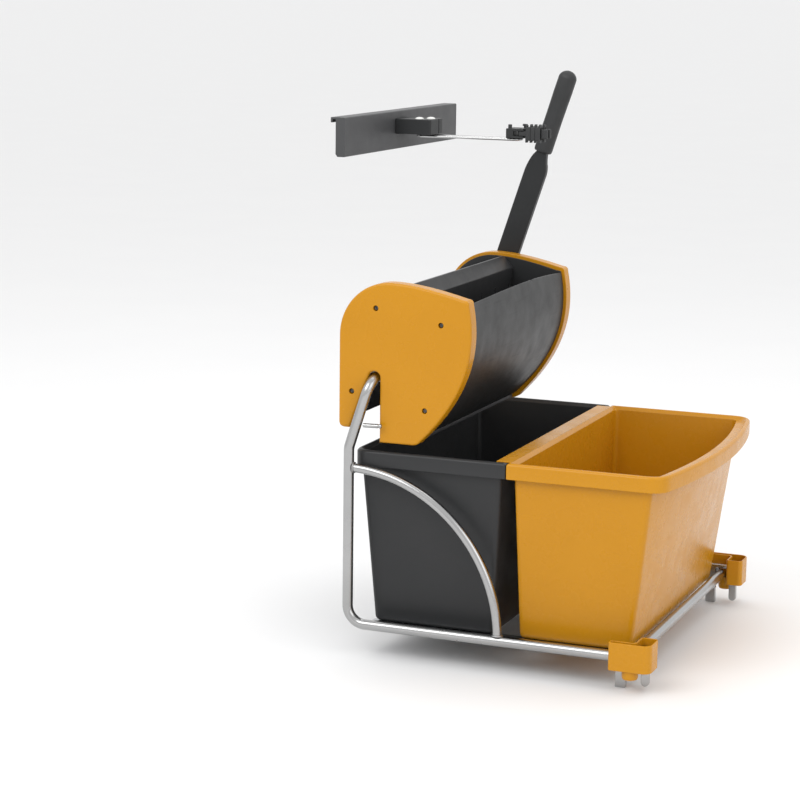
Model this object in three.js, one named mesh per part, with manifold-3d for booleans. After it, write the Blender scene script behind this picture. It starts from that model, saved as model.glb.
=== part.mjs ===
// Double mop bucket with lever wringer, on its tube frame, and the mop-handle holder of the same set.
// Units are millimetres. X runs from the uprights to the front bucket, Y across, Z up.
// The origin is on the deck that the frame rests on, midway between the two rails, under the uprights.
import * as THREE from 'three';
import { mergeVertices } from 'three/addons/utils/BufferGeometryUtils.js';
import Module from 'manifold-3d';

const wasm = await Module();
wasm.setup();

// ---- driving dimensions ----
const gap = 0.3; // between pieces that touch
const runningGap = 0.4; // between pieces that move past each other
const liftGap = 1.5; // around what lifts off by hand

const tubeDiameter = 16;
const railSpacing = 544; // between the rails' centre lines
const railLength = 448; // upright to front tube
const crossbarForward = 34; // crossbar ahead of the uprights
const crossbarLift = 111; // crossbar above the buckets' rims
const leanLift = 4; // start of the lean above the buckets' rims
const bendRadius = 28;
const braceDrop = 26; // brace's upper end below the buckets' rims
const braceDiameter = 14;
const stopPinDrop = 71; // below the crossbar
const stopPinDiameter = 7;
const stopPinLength = 28;
const ledgeWidth = 48;
const ledgeThickness = 3;
const ledgeStart = 22; // ahead of the uprights

const forkProngWidth = 16;
const forkThickness = 8;
const forkFrontGap = 5.5; // front tube to the front prong
const forkBridge = 6;
const rearProngDrop = 42; // below the deck
const frontProngWidth = 12;
const frontProngDrop = 36;

const bumperLength = 28; // back from the front tube
const bumperDepth = 13;
const bumperFrontDepth = 26;
const bumperReturn = 24; // inward from the rail along the front tube
const bumperWall = 2.5;
const bumperCorner = 13;
const bumperHeight = 42;
const bumperDrop = 16; // below the rail's centre line
const bumperBossMargin = 4; // boss's radius beyond the tube's
const bumperBossOffset = 2; // boss ahead of the front tube's centre line
const bumperBossDrop = 30;

const bucketRimHeight = 268; // rim's crest above the rails
const rimDepth = 24;
const rimWidth = 11;
const rimSlope = 6; // crest down to the opening's edge
const rimShoulder = 5;
const rimGap = 0.8; // between the two rims
const bucketToRail = 1;
const bucketWall = 3;
const outerCorner = 26; // rim's corners at the two ends of the pair
const meetingCorner = 3; // rim's corners where the buckets meet
const bodyCorner = 14;
const greyStart = 2; // rim's rear edge ahead of the uprights
const greyLength = 244;
const yellowOverhang = 36.8; // front rim's ends ahead of the front tube
const yellowFrontRim = 22;
const yellowBow = 28; // how far the front rim bulges
const lipReach = 20; // yellow rim's lip over the grey bucket's front rim
const lipThickness = 2.5;
const lipHem = 7;
const lipEndGap = 4; // lip's ends to the side rims
const greyDraft = 18; // how far the sides lean in by the floor
const yellowRearDraft = 8;
const bodyToFrontTube = 5; // yellow bucket's floor to the front tube
const bodyDraftY = 26;

const wringerOffset = 12; // near rail's centre line to the near cover's face
const wringerFarOffset = 60; // far rail's centre line to the far cover's face
const coverThickness = 24;
const coverEdge = 4; // rounding of the covers' edges
const endWallThickness = 4;
const shellThickness = 4;
const shellInset = 5; // shells and end walls behind the covers' outline
const shellArch = 5; // front shell's top edge, highest at archPlace
const archPlace = 0.65; // of the way to the far wall
const rearShellTop = 140; // degrees round the crown where the rear shell ends
const coverRear = 57; // from the crossbar back
const coverCrown = 144; // from the crossbar up
const coverCrownRadius = 82;
const frontCurve = [[72, -95], [149, -20], [163, 50], [149, 117]]; // Bezier points from the crossbar
const noseRound = 8;
const crownEase = 44; // how far the sloping top stays near the crown's height
const coverFoot = 98; // from the crossbar down
const rearLegFoot = 79;
const heelRound = 10;
const slotLean = 30; // how far the slot opens to the rear at its foot
const screwHeadRadius = 3.6;
const screwHeadLength = 5.5;
const screwRecess = 3;

const shaftDiameter = 16;
const shaftForward = 10; // lever shaft ahead of the crossbar
const shaftHeight = 51; // lever shaft above the crossbar
const bushWall = 3.5;
const camReach = 68;
const camRadius = 6;
const camLean = 30; // degrees ahead of straight up
const camThickness = 10;
const camHubWall = 5; // hub beyond the shaft
const plateHingeForward = 38;
const plateHingeDrop = 67;
const plateBarrelRadius = 9;
const hingePinRadius = 4;
const hingePinLength = 18; // past the end wall
// The press plate's section, from the crossbar: a flat sheet with a crest bent back along its top.
const plateProfile = [[42, -60], [54, 119], [42, 134], [42, 139], [46, 139], [62, 121], [48, -58]];
const camInset = 24;
const drainThickness = 5;
const drainSlots = 12;
const drainSlotWidth = 9;
const springTurns = 4;
const springPitch = 3.2;
const springWire = 2.4;
const springClearance = 5; // shaft to the coil's centre line

const leverLean = 18.3; // degrees ahead of straight up
const bladeWidth = 37;
const bladeThickness = 12;
const bladeLength = 272; // shaft to the grip
const neckLength = 60; // blade's tongue inside the grip
const neckHalf = 9;
const gripLength = 140;
const gripWidth = 30;
const gripThickness = 24;
const leverGap = 3; // far cover to the blade
const washerMargin = 1; // washer beyond the shaft
const washerThickness = 1.6;
const boltRadius = 6;
const boltHeight = 4.4;

const panelWidth = 468;
const panelHeight = 59;
const panelThickness = 15;
const panelSetback = 30; // uprights to the panel's face
const panelTop = 762; // above the rails
const panelMiddle = 5; // from the frame's middle
const panelLip = 8; // hook along the panel's top
const panelSheet = 3;
const holderReach = 60;
const holderWidth = 52;
const holderHeight = 23.5;
const holderSide = -32; // holder's near side from the middle
const holderTop = 11.5; // below the panel's top
const grooveSide = 34; // from the holder's near side
const grooveWidth = 2;
const buttonPlaces = [[38, 8], [52, 21]]; // from the panel's face, from the holder's near side
const buttonRadius = 7;
const pivotBack = 27; // arm's pivot behind the holder's front
const postRadius = 5;
const postHeight = 9;
const wireDiameter = 4;
const armLength = 168;
const armSpread = 22;
const clipBehind = 20; // clip's rear face behind the arm's end
const clipLength = 28;
const clipHeight = 15;
const clipWidth = 34;
const mouthDepth = 16;
const mouthWall = 3.5;
const pegRadius = 3;
const pegHeight = 6;
const jawPinRadius = 2.2;
const jawPinBack = 6; // jaw's pin behind the clip's front
const jawPinSpread = 11;
const knobRadius = 4;
const jawReach = 3; // jaw's pad ahead of the clip
const padLength = 24;
const padThickness = 8;
const padHeight = 21;
const ribCount = 4;
const ribHeight = 27;
const ribWidth = 3;
const jawOpening = 7; // pad's gripping face from the middle
const stubLength = 10;
const stubHeight = 14;

// ---- values that follow ----
const tubeRadius = tubeDiameter / 2;
const railZ = tubeRadius;
const railY = railSpacing / 2;
const braceRadius = bucketRimHeight - braceDrop;
const uprightHeight = bucketRimHeight + leanLift; // rail to the start of the lean
const crossbarHeight = bucketRimHeight + crossbarLift; // crossbar above the rails
const forkInset = tubeRadius + liftGap; // rail's centre line to the fork
const forkTop = tubeDiameter + liftGap + forkBridge;
const bucketWidth = railSpacing - tubeDiameter - 2 * bucketToRail;
const rimTop = railZ + bucketRimHeight;
const ledgeTop = ledgeThickness;
const yellowStart = greyStart + greyLength + rimGap;
const yellowLength = railLength + yellowOverhang - yellowStart;
const bucketFloor = ledgeTop + gap;
const hook = new THREE.Vector3(crossbarForward, 0, railZ + crossbarHeight);
const slotHalf = tubeRadius + liftGap;
const coverNearY = -railY + wringerOffset;
const coverFarY = railY - wringerFarOffset;
const wallNearY = coverNearY + coverThickness + gap;
const wallFarY = coverFarY - coverThickness - gap;
const insideNearY = wallNearY + endWallThickness + gap;
const insideFarY = wallFarY - endWallThickness - gap;
const shaftRadius = shaftDiameter / 2;
const bushRadius = shaftRadius + runningGap + bushWall;
const shaft = new THREE.Vector3(hook.x + shaftForward, 0, hook.z + shaftHeight);
const plateHinge = new THREE.Vector3(hook.x + plateHingeForward, 0, hook.z - plateHingeDrop);
const panelZ = railZ + panelTop;

const finishes = {
  chrome: { color: 0xc4c6c8, roughness: 0.16, metalness: 1 },
  yellow: { color: 0xd8951c, roughness: 0.32, metalness: 0 },
  anthracite: { color: 0x3a3b3c, roughness: 0.45, metalness: 0 },
  black: { color: 0x2b2c2d, roughness: 0.5, metalness: 0 },
  rubber: { color: 0x1f2021, roughness: 0.8, metalness: 0 },
  steel: { color: 0x8f9194, roughness: 0.35, metalness: 1 },
  white: { color: 0xe9e9e6, roughness: 0.4, metalness: 0 },
};

const sides = [
  [-1, 'near'],
  [1, 'far'],
];
const assembly = new THREE.Group();

// ---- solids ----
function solidOf(geometry) {
  const bare = geometry.index ? geometry.toNonIndexed() : geometry.clone();
  bare.deleteAttribute('normal');
  bare.deleteAttribute('uv');
  const merged = mergeVertices(bare, 1e-3);
  return new wasm.Manifold(new wasm.Mesh({
    numProp: 3,
    vertProperties: new Float32Array(merged.attributes.position.array),
    triVerts: new Uint32Array(merged.index.array),
  }));
}

function geometryOf(solid) {
  const mesh = solid.getMesh();
  const geometry = new THREE.BufferGeometry();
  geometry.setAttribute('position', new THREE.BufferAttribute(new Float32Array(mesh.vertProperties), 3));
  geometry.setIndex(new THREE.BufferAttribute(new Uint32Array(mesh.triVerts), 1));
  return geometry;
}

function join(...geometries) {
  return geometryOf(geometries.map(solidOf).reduce((whole, piece) => whole.add(piece)));
}

function cut(geometry, ...tools) {
  return geometryOf(tools.map(solidOf).reduce((whole, tool) => whole.subtract(tool), solidOf(geometry)));
}

function add(name, geometry, finish, parent = assembly) {
  const mesh = new THREE.Mesh(geometry, new THREE.MeshStandardMaterial(finishes[finish]));
  mesh.name = name;
  parent.add(mesh);
  return mesh;
}

function extrude(shape, depth, edge, curveSegments) {
  return new THREE.ExtrudeGeometry(shape, {
    depth: depth - 2 * edge,
    curveSegments,
    bevelEnabled: edge > 0,
    bevelThickness: edge,
    bevelSize: edge,
    bevelOffset: -edge,
    bevelSegments: 2,
  }).translate(0, 0, edge);
}

// A plate that stands across Y, from an outline in X and Z.
function across(shape, lowY, highY, edge = 0, curveSegments = 8) {
  return extrude(shape, highY - lowY, edge, curveSegments).rotateX(Math.PI / 2).translate(0, highY, 0);
}

// A plate that lies flat, from an outline in X and Y.
function flat(shape, lowZ, highZ, edge = 0, curveSegments = 6) {
  return extrude(shape, highZ - lowZ, edge, curveSegments).translate(0, 0, lowZ);
}

function block(lowX, highX, lowY, highY, lowZ, highZ) {
  return new THREE.BoxGeometry(highX - lowX, highY - lowY, highZ - lowZ)
    .translate((lowX + highX) / 2, (lowY + highY) / 2, (lowZ + highZ) / 2);
}

function rodAlongY(radius, x, lowY, highY, z, sides = 20) {
  return new THREE.CylinderGeometry(radius, radius, highY - lowY, sides).translate(x, (lowY + highY) / 2, z);
}

function rodAlongZ(radius, x, y, lowZ, highZ, sides = 20) {
  return new THREE.CylinderGeometry(radius, radius, highZ - lowZ, sides)
    .rotateX(Math.PI / 2)
    .translate(x, y, (lowZ + highZ) / 2);
}

function ringAlongY(inner, outer, x, lowY, highY, z) {
  const section = [
    new THREE.Vector2(inner, lowY),
    new THREE.Vector2(outer, lowY),
    new THREE.Vector2(outer, highY),
    new THREE.Vector2(inner, highY),
    new THREE.Vector2(inner, lowY),
  ];
  return new THREE.LatheGeometry(section, 20).translate(x, 0, z);
}

// A closed surface through rings of equal length, each at one height or one place along Y.
function loft(rings, flatEnd) {
  const count = rings[0].length;
  const faces = [];
  for (let start = 0; start < (rings.length - 1) * count; start += count) {
    for (let i = 0; i < count; i += 1) {
      const j = (i + 1) % count;
      faces.push(start + i, start + count + j, start + j);
      faces.push(start + i, start + count + i, start + count + j);
    }
  }
  const last = (rings.length - 1) * count;
  for (const [a, b, c] of THREE.ShapeUtils.triangulateShape(rings[0].map(flatEnd), [])) {
    faces.push(a, b, c);
  }
  for (const [a, b, c] of THREE.ShapeUtils.triangulateShape(rings.at(-1).map(flatEnd), [])) {
    faces.push(last + c, last + b, last + a);
  }
  const geometry = new THREE.BufferGeometry().setFromPoints(rings.flat());
  geometry.setIndex(faces);
  return geometry;
}

// A stretch of Y between two distances from the middle, on one side of it.
function span(side, inner, outer) {
  return side < 0 ? [-outer, -inner] : [inner, outer];
}

// Points round a rectangle whose front and rear corners have their own radii.
function roundedRectangle(lowX, highX, half, rearRadius, frontRadius) {
  const cornerSteps = 5;
  const frontSteps = 10;
  const corner = (x, y, fromX, fromY, toX, toY) => new THREE.QuadraticBezierCurve(
    new THREE.Vector2(x + fromX, y + fromY), new THREE.Vector2(x, y), new THREE.Vector2(x + toX, y + toY),
  ).getPoints(cornerSteps);
  const frontSide = Array.from({ length: frontSteps - 1 }, (_, i) => new THREE.Vector2(
    highX, (half - frontRadius) * ((2 * (i + 1)) / frontSteps - 1),
  ));
  return [
    ...corner(highX, -half, -frontRadius, 0, 0, frontRadius),
    ...frontSide,
    ...corner(highX, half, 0, -frontRadius, -frontRadius, 0),
    ...corner(lowX, half, rearRadius, 0, 0, -rearRadius),
    ...corner(lowX, -half, 0, rearRadius, rearRadius, 0),
  ];
}

// A route with sections only at the stations given: straight runs have one at each end.
class Route extends THREE.Curve {
  constructor(stations) {
    super();
    this.stations = stations;
  }

  stationAt(t) {
    return this.stations[Math.round(t * (this.stations.length - 1))];
  }

  getPoint(t) {
    return this.stationAt(t).point.clone();
  }

  getPointAt(t) {
    return this.getPoint(t);
  }

  getTangentAt(t) {
    return this.stationAt(t).tangent.clone();
  }
}

function station(place, direction) {
  return { point: place.clone(), tangent: direction.clone().normalize() };
}

function bend(before, corner, after, radius, stepDegrees) {
  const incoming = corner.clone().sub(before).normalize();
  const outgoing = after.clone().sub(corner).normalize();
  const angle = incoming.angleTo(outgoing);
  const axis = incoming.clone().cross(outgoing).normalize();
  const start = corner.clone().addScaledVector(incoming, -radius * Math.tan(angle / 2));
  const centre = start.clone().addScaledVector(axis.clone().cross(incoming), radius);
  const steps = Math.ceil(THREE.MathUtils.radToDeg(angle) / stepDegrees);
  return Array.from({ length: steps + 1 }, (_, i) => {
    const turn = (angle * i) / steps;
    const place = start.clone().sub(centre).applyAxisAngle(axis, turn).add(centre);
    return station(place, incoming.clone().applyAxisAngle(axis, turn));
  });
}

// Straight runs between the corners, joined by round bends.
function bentRoute(corners, radius, stepDegrees = 18) {
  const last = corners.length - 1;
  const stations = [station(corners[0], corners[1].clone().sub(corners[0]))];
  for (let i = 1; i < last; i += 1) {
    stations.push(...bend(corners[i - 1], corners[i], corners[i + 1], radius, stepDegrees));
  }
  stations.push(station(corners[last], corners[last].clone().sub(corners[last - 1])));
  return new Route(stations);
}

function tubeAlong(route, radius, sides) {
  const section = new THREE.Shape();
  section.absarc(0, 0, radius, 0, 2 * Math.PI);
  return new THREE.ExtrudeGeometry(section, {
    steps: route.stations.length - 1,
    curveSegments: sides,
    extrudePath: route,
  });
}

function point(x, y, z) {
  return new THREE.Vector3(x, y, z);
}

// ---- frame ----
function addFrame() {
  const railEnd = railLength - tubeRadius - gap;
  const leanStart = railZ + uprightHeight;
  const route = bentRoute([
    point(railEnd, -railY, railZ),
    point(0, -railY, railZ),
    point(0, -railY, leanStart),
    point(hook.x, -railY, hook.z),
    point(hook.x, railY, hook.z),
    point(0, railY, leanStart),
    point(0, railY, railZ),
    point(railEnd, railY, railZ),
  ], bendRadius);
  add('main_tube', tubeAlong(route, tubeRadius, 14), 'chrome');
  const frontHalf = railY + tubeRadius;
  add('front_tube', rodAlongY(tubeRadius, railLength, -frontHalf, frontHalf, railZ, 14), 'chrome');
  for (const [side, name] of sides) {
    addBrace(side, name);
    addLedge(side, name);
    addStopPin(side, name);
    addCornerFork(side, name);
    addBumper(side, name);
  }
}

// A quarter-round brace from the upright to the rail, in their plane.
function addBrace(side, name) {
  const clear = Math.asin((tubeRadius + gap) / braceRadius);
  const steps = 16;
  const stations = Array.from({ length: steps + 1 }, (_, i) => {
    const turn = clear + ((Math.PI / 2 - 2 * clear) * i) / steps;
    const place = point(braceRadius * Math.sin(turn), side * railY, railZ + braceRadius * Math.cos(turn));
    return station(place, point(Math.cos(turn), 0, -Math.sin(turn)));
  });
  add(`brace_${name}`, tubeAlong(new Route(stations), braceDiameter / 2, 12), 'chrome');
}

function addLedge(side, name) {
  const outer = railY - tubeRadius - gap;
  const end = railLength - tubeRadius - liftGap - forkProngWidth - gap;
  const [lowY, highY] = span(side, outer - ledgeWidth, outer);
  add(`ledge_${name}`, block(ledgeStart, end, lowY, highY, 0, ledgeThickness), 'steel');
}

// A short pin on each leaning stretch, which the wringer's rear foot comes down behind.
function addStopPin(side, name) {
  const height = hook.z - stopPinDrop;
  const leanShare = (height - railZ - uprightHeight) / (crossbarHeight - uprightHeight);
  const start = tubeRadius + stopPinDiameter / 2 + hook.x * leanShare;
  const route = bentRoute([
    point(start, side * railY, height),
    point(start + stopPinLength, side * (railY - tubeRadius / 2), height),
  ], bendRadius);
  add(`stop_pin_${name}`, tubeAlong(route, stopPinDiameter / 2, 10), 'chrome');
}

// A fork over the front tube, whose two prongs hang down at the corner.
function addCornerFork(side, name) {
  const rearProng = railLength - tubeRadius - liftGap;
  const frontProng = railLength + tubeRadius + forkFrontGap;
  const shape = new THREE.Shape();
  shape.moveTo(rearProng - forkProngWidth, forkTop);
  shape.lineTo(rearProng - forkProngWidth, -rearProngDrop);
  shape.lineTo(rearProng, -rearProngDrop);
  shape.lineTo(rearProng, forkTop - forkBridge);
  shape.lineTo(frontProng, forkTop - forkBridge);
  const tip = frontProngWidth / 2;
  shape.lineTo(frontProng, tip - frontProngDrop);
  shape.absarc(frontProng + tip, tip - frontProngDrop, tip, Math.PI, 2 * Math.PI);
  shape.lineTo(frontProng + frontProngWidth, forkTop);
  shape.closePath();
  const [lowY, highY] = span(side, railY - forkInset - forkThickness, railY - forkInset);
  add(`corner_fork_${name}`, across(shape, lowY, highY, 0, 5), 'chrome');
}

// A hollow band round the corner, notched for the fork, with a round boss under the tube joint.
function addBumper(side, name) {
  const low = railZ - bumperDrop;
  const high = low + bumperHeight;
  const whole = flat(bumperOutline(0, side), low, high, 0, 4);
  const hollow = flat(bumperOutline(bumperWall, side), low - 1, high + 1, 0, 4);
  const band = cut(whole, hollow);
  const forkY = railY - forkInset;
  const [notchLow, notchHigh] = span(side, forkY - forkThickness - gap, forkY + gap);
  const innerX = railLength + tubeRadius + liftGap;
  const notch = block(
    innerX - 1, innerX + bumperWall + 1, notchLow, notchHigh, forkTop - forkBridge - gap, high + 1,
  );
  const bossTop = railZ - tubeRadius - gap;
  const bossX = railLength + bumperBossOffset;
  const bossY = side * (railY + bumperDepth / 2 + 1);
  const boss = rodAlongZ(tubeRadius + bumperBossMargin, bossX, bossY, railZ - bumperBossDrop, bossTop, 20);
  add(`bumper_${name}`, cut(join(band, boss), notch), 'yellow');
}

function bumperOutline(inset, side) {
  const rear = railLength - bumperLength + inset;
  const innerY = railY + tubeRadius + liftGap + inset;
  const outerY = railY + tubeRadius + liftGap + bumperDepth - inset;
  const innerX = railLength + tubeRadius + liftGap + inset;
  const outerX = railLength + tubeRadius + liftGap + bumperFrontDepth - inset;
  const end = railY - bumperReturn + inset;
  const round = bumperCorner - inset;
  const shape = new THREE.Shape();
  shape.moveTo(rear, side * innerY);
  shape.lineTo(rear, side * (outerY - 3));
  shape.quadraticCurveTo(rear, side * outerY, rear + 3, side * outerY);
  shape.lineTo(outerX - round, side * outerY);
  shape.quadraticCurveTo(outerX, side * outerY, outerX, side * (outerY - round));
  shape.lineTo(outerX, side * (end + 5));
  shape.quadraticCurveTo(outerX, side * end, outerX - 5, side * end);
  shape.lineTo(innerX, side * end);
  shape.lineTo(innerX, side * (innerY - 6));
  shape.quadraticCurveTo(innerX, side * innerY, innerX - 6, side * innerY);
  shape.closePath();
  return shape;
}

// ---- buckets ----
// One level of a bucket. The body leans in towards its floor, where the front's bow has faded.
function bucketRing(bucket, inset, z, inBody) {
  const half = bucketWidth / 2;
  const length = bucket.front - bucket.rear;
  const frontInset = inBody ? inset + bucket.frontRim - rimWidth : inset;
  const [rearRadius, frontRadius] = bucket.corners.map((radius) => (
    inBody ? Math.max(radius - inset / 2, bodyCorner) : Math.max(radius - inset / 2, 1.5)
  ));
  const down = inBody ? (rimTop - z) / (rimTop - bucketFloor) : 0;
  const outline = roundedRectangle(
    bucket.rear + inset, bucket.front - frontInset, half - inset, rearRadius, frontRadius,
  );
  return outline.map(({ x, y }) => {
    const share = (x - bucket.rear) / length;
    const bulge = share > 0.5 ? bucket.bow * (1 - (y / half) ** 2) * (1 - down) : 0;
    const lean = down * (bucket.rearDraft * (1 - share) - bucket.frontDraft * share);
    return point(x + lean + bulge, y * (1 - (bodyDraftY / half) * down), z);
  });
}

// A hollow body under a turned-down rim, whose top slopes down to the opening.
function bucketGeometry(bucket) {
  const undersideZ = rimTop - rimSlope - bucketWall;
  const rim = (inset, z) => bucketRing(bucket, inset, z, false);
  const body = (inset, z) => bucketRing(bucket, inset, z, true);
  return loft([
    body(rimWidth, bucketFloor + bucketWall),
    body(rimWidth, rimTop - rimSlope),
    rim(rimWidth - rimShoulder, rimTop),
    rim(rimShoulder, rimTop),
    rim(0, rimTop - rimShoulder),
    rim(0, rimTop - rimDepth),
    rim(bucketWall, rimTop - rimDepth),
    rim(bucketWall, undersideZ),
    body(rimWidth - bucketWall, undersideZ),
    body(rimWidth - bucketWall, bucketFloor),
  ], ({ x, y }) => new THREE.Vector2(x, y));
}

// The rear bucket, whose front rim is stepped down between the side rims to go under the lip.
function addGreyBucket() {
  const front = greyStart + greyLength;
  const whole = bucketGeometry({
    rear: greyStart,
    front,
    corners: [outerCorner, meetingCorner],
    frontRim: rimWidth,
    rearDraft: greyDraft,
    frontDraft: greyDraft,
    bow: 0,
  });
  const half = bucketWidth / 2 - rimWidth;
  const stepRear = front - rimWidth - 2 * bucketWall;
  const step = block(stepRear, front + 1, -half, half, rimTop - lipThickness - gap, rimTop + 1);
  add('grey_bucket', cut(whole, step), 'anthracite');
}

// The front bucket, with a bulging front and a lip that hooks over the grey bucket's front rim.
function addYellowBucket() {
  const front = yellowStart + yellowLength;
  const bodyFront = front - yellowFrontRim + bucketWall;
  const floorFront = railLength - tubeRadius - bodyToFrontTube;
  const whole = bucketGeometry({
    rear: yellowStart,
    front,
    corners: [meetingCorner, outerCorner],
    frontRim: yellowFrontRim,
    rearDraft: yellowRearDraft,
    frontDraft: ((bodyFront - floorFront) * yellowLength) / (bodyFront - yellowStart),
    bow: yellowBow,
  });
  const half = bucketWidth / 2 - rimWidth - lipEndGap;
  const lipEnd = yellowStart - lipReach;
  const lip = block(lipEnd, yellowStart + rimShoulder + 1, -half, half, rimTop - lipThickness, rimTop);
  const hem = block(lipEnd, lipEnd + lipThickness, -half, half, rimTop - lipHem, rimTop);
  add('yellow_bucket', join(whole, lip, hem), 'yellow');
}

// ---- wringer ----
// The end's outline, from the crossbar: a round crown, a sloping top, a bulging front and a hook slot.
function endOutline(inset) {
  const x = (forward) => hook.x + forward;
  const z = (up) => hook.z + up;
  const crown = coverCrownRadius - inset;
  const crownX = coverCrownRadius - coverRear;
  const slot = slotHalf + inset;
  const [foot, belly, chest, brow] = frontCurve;
  const shape = new THREE.Shape();
  shape.moveTo(x(slot), z(-coverFoot + inset));
  shape.lineTo(x(foot[0] - noseRound - inset), z(-coverFoot + inset));
  shape.lineTo(x(foot[0] - inset), z(foot[1] + inset));
  shape.bezierCurveTo(
    x(belly[0] - inset), z(belly[1]), x(chest[0] - inset), z(chest[1]), x(brow[0] - inset), z(brow[1]),
  );
  shape.quadraticCurveTo(
    x(brow[0] - 2 - inset), z(brow[1] + noseRound - inset),
    x(brow[0] - noseRound - 3 - inset), z(brow[1] + noseRound + 1 - inset),
  );
  shape.quadraticCurveTo(
    x(crownX + crownEase), z(coverCrown - inset), x(crownX), z(coverCrown - inset),
  );
  shape.absarc(x(crownX), z(coverCrown - coverCrownRadius), crown, Math.PI / 2, Math.PI);
  shape.lineTo(x(-coverRear + inset), z(-rearLegFoot + heelRound));
  shape.quadraticCurveTo(
    x(-coverRear + inset), z(-rearLegFoot + inset), x(-coverRear + heelRound), z(-rearLegFoot + inset),
  );
  shape.lineTo(x(-slot - slotLean), z(-rearLegFoot + inset));
  shape.lineTo(x(-slot), z(0));
  shape.absarc(x(0), z(0), slot, Math.PI, 0, true);
  shape.closePath();
  return shape;
}

const screwPlaces = [
  [2, 105],
  [106, 86],
  [-36, -23],
  [82, -44],
];

function addSideCover(side, name) {
  const lowY = side < 0 ? coverNearY : coverFarY - coverThickness;
  const highY = lowY + coverThickness;
  const faceY = side < 0 ? lowY : highY;
  const depth = screwRecess + screwHeadLength + gap;
  const tools = screwPlaces.map(([forward, up]) => rodAlongY(
    screwHeadRadius + gap, hook.x + forward, faceY - depth, faceY + depth, hook.z + up, 14,
  ));
  if (side > 0) {
    tools.push(rodAlongY(shaftRadius + liftGap, shaft.x, lowY - 1, highY + 1, shaft.z, 24));
  }
  add(`side_cover_${name}`, cut(across(endOutline(0), lowY, highY, coverEdge, 7), ...tools), 'yellow');
  addCoverScrews(side, name, faceY);
}

function addCoverScrews(side, name, faceY) {
  const topY = faceY - side * screwRecess;
  const [lowY, highY] = [topY, topY - side * screwHeadLength].sort((a, b) => a - b);
  screwPlaces.forEach(([forward, up], i) => {
    const head = rodAlongY(screwHeadRadius, hook.x + forward, lowY, highY, hook.z + up, 12);
    const drive = rodAlongY(1.6, hook.x + forward, topY - 2, topY + 2, hook.z + up, 6);
    add(`cover_screw_${name}_${i + 1}`, cut(head, drive), 'steel');
  });
}

function addEndWall(side, name) {
  const [lowY, highY] = side < 0 ? [wallNearY, wallNearY + endWallThickness]
    : [wallFarY - endWallThickness, wallFarY];
  const bushHole = rodAlongY(bushRadius + gap, shaft.x, lowY - 1, highY + 1, shaft.z, 24);
  const pinHole = rodAlongY(hingePinRadius + gap, plateHinge.x, lowY - 1, highY + 1, plateHinge.z, 16);
  const plate = across(endOutline(shellInset), lowY, highY, 0, 7);
  add(`end_wall_${name}`, cut(plate, bushHole, pinHole), 'anthracite');
  const bush = ringAlongY(shaftRadius + runningGap, bushRadius, shaft.x, lowY, highY, shaft.z);
  add(`shaft_bush_${name}`, bush, 'white');
  const [pinLow, pinHigh] = side < 0 ? [lowY, highY + hingePinLength] : [lowY - hingePinLength, highY];
  const pin = rodAlongY(hingePinRadius, plateHinge.x, pinLow, pinHigh, plateHinge.z, 14);
  add(`hinge_pin_${name}`, pin, 'steel');
}

// A curved sheet's section along part of the ends' outline, as thick as the shells.
function shellSection(outer) {
  const inner = outer.map((place, i) => {
    const before = outer[Math.max(i - 1, 0)];
    const after = outer[Math.min(i + 1, outer.length - 1)];
    const along = after.clone().sub(before).normalize();
    return place.clone().add(new THREE.Vector2(-along.y, along.x).multiplyScalar(shellThickness));
  });
  return [...outer, ...inner.reverse()];
}

// The front shell's outline, with its top edge raised by some of its arch.
function frontOutline(rise) {
  const [foot, belly, chest, brow] = frontCurve.map(([forward, up]) => (
    new THREE.Vector2(hook.x + forward - shellInset, hook.z + up)
  ));
  foot.y += shellInset;
  brow.y += shellInset;
  const curve = new THREE.CubicBezierCurve(foot, belly, chest, brow).getPoints(12);
  curve.at(-1).y += rise;
  return curve;
}

function rearOutline() {
  const crown = coverCrownRadius - shellInset;
  const crownX = hook.x + coverCrownRadius - coverRear;
  const crownZ = hook.z + coverCrown - coverCrownRadius;
  const start = THREE.MathUtils.degToRad(rearShellTop);
  const arc = new THREE.EllipseCurve(crownX, crownZ, crown, crown, start, Math.PI).getPoints(6);
  return [...arc, new THREE.Vector2(hook.x - coverRear + shellInset, hook.z - rearLegFoot + heelRound)];
}

function addShells() {
  const steps = 12;
  const rings = Array.from({ length: steps + 1 }, (_, i) => {
    const along = i / steps;
    const share = along < archPlace ? along / archPlace : (1 - along) / (1 - archPlace);
    const y = THREE.MathUtils.lerp(insideNearY, insideFarY, along);
    const rise = shellArch * Math.sin((share * Math.PI) / 2);
    return shellSection(frontOutline(rise)).map((place) => point(place.x, y, place.y));
  });
  add('front_shell', loft(rings, ({ x, z }) => new THREE.Vector2(x, z)), 'anthracite');
  const rear = new THREE.Shape(shellSection(rearOutline()));
  add('rear_shell', across(rear, insideNearY, insideFarY), 'anthracite');
}

// The floor of the pressing chamber, with slots that let the water down into the grey bucket.
function addDrainGrid() {
  const low = hook.z - coverFoot + 2;
  const rear = hook.x + slotHalf + 3;
  const front = hook.x + frontCurve[0][0] - noseRound + 1;
  const plate = block(rear, front, insideNearY, insideFarY, low, low + drainThickness);
  const pitch = (insideFarY - insideNearY) / drainSlots;
  const tools = Array.from({ length: drainSlots }, (_, i) => {
    const slotLow = insideNearY + pitch * (i + 0.5) - drainSlotWidth / 2;
    return block(rear + 8, front - 8, slotLow, slotLow + drainSlotWidth, low - 1, low + drainThickness + 1);
  });
  add('drain_grid', cut(plate, ...tools), 'anthracite');
}

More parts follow.
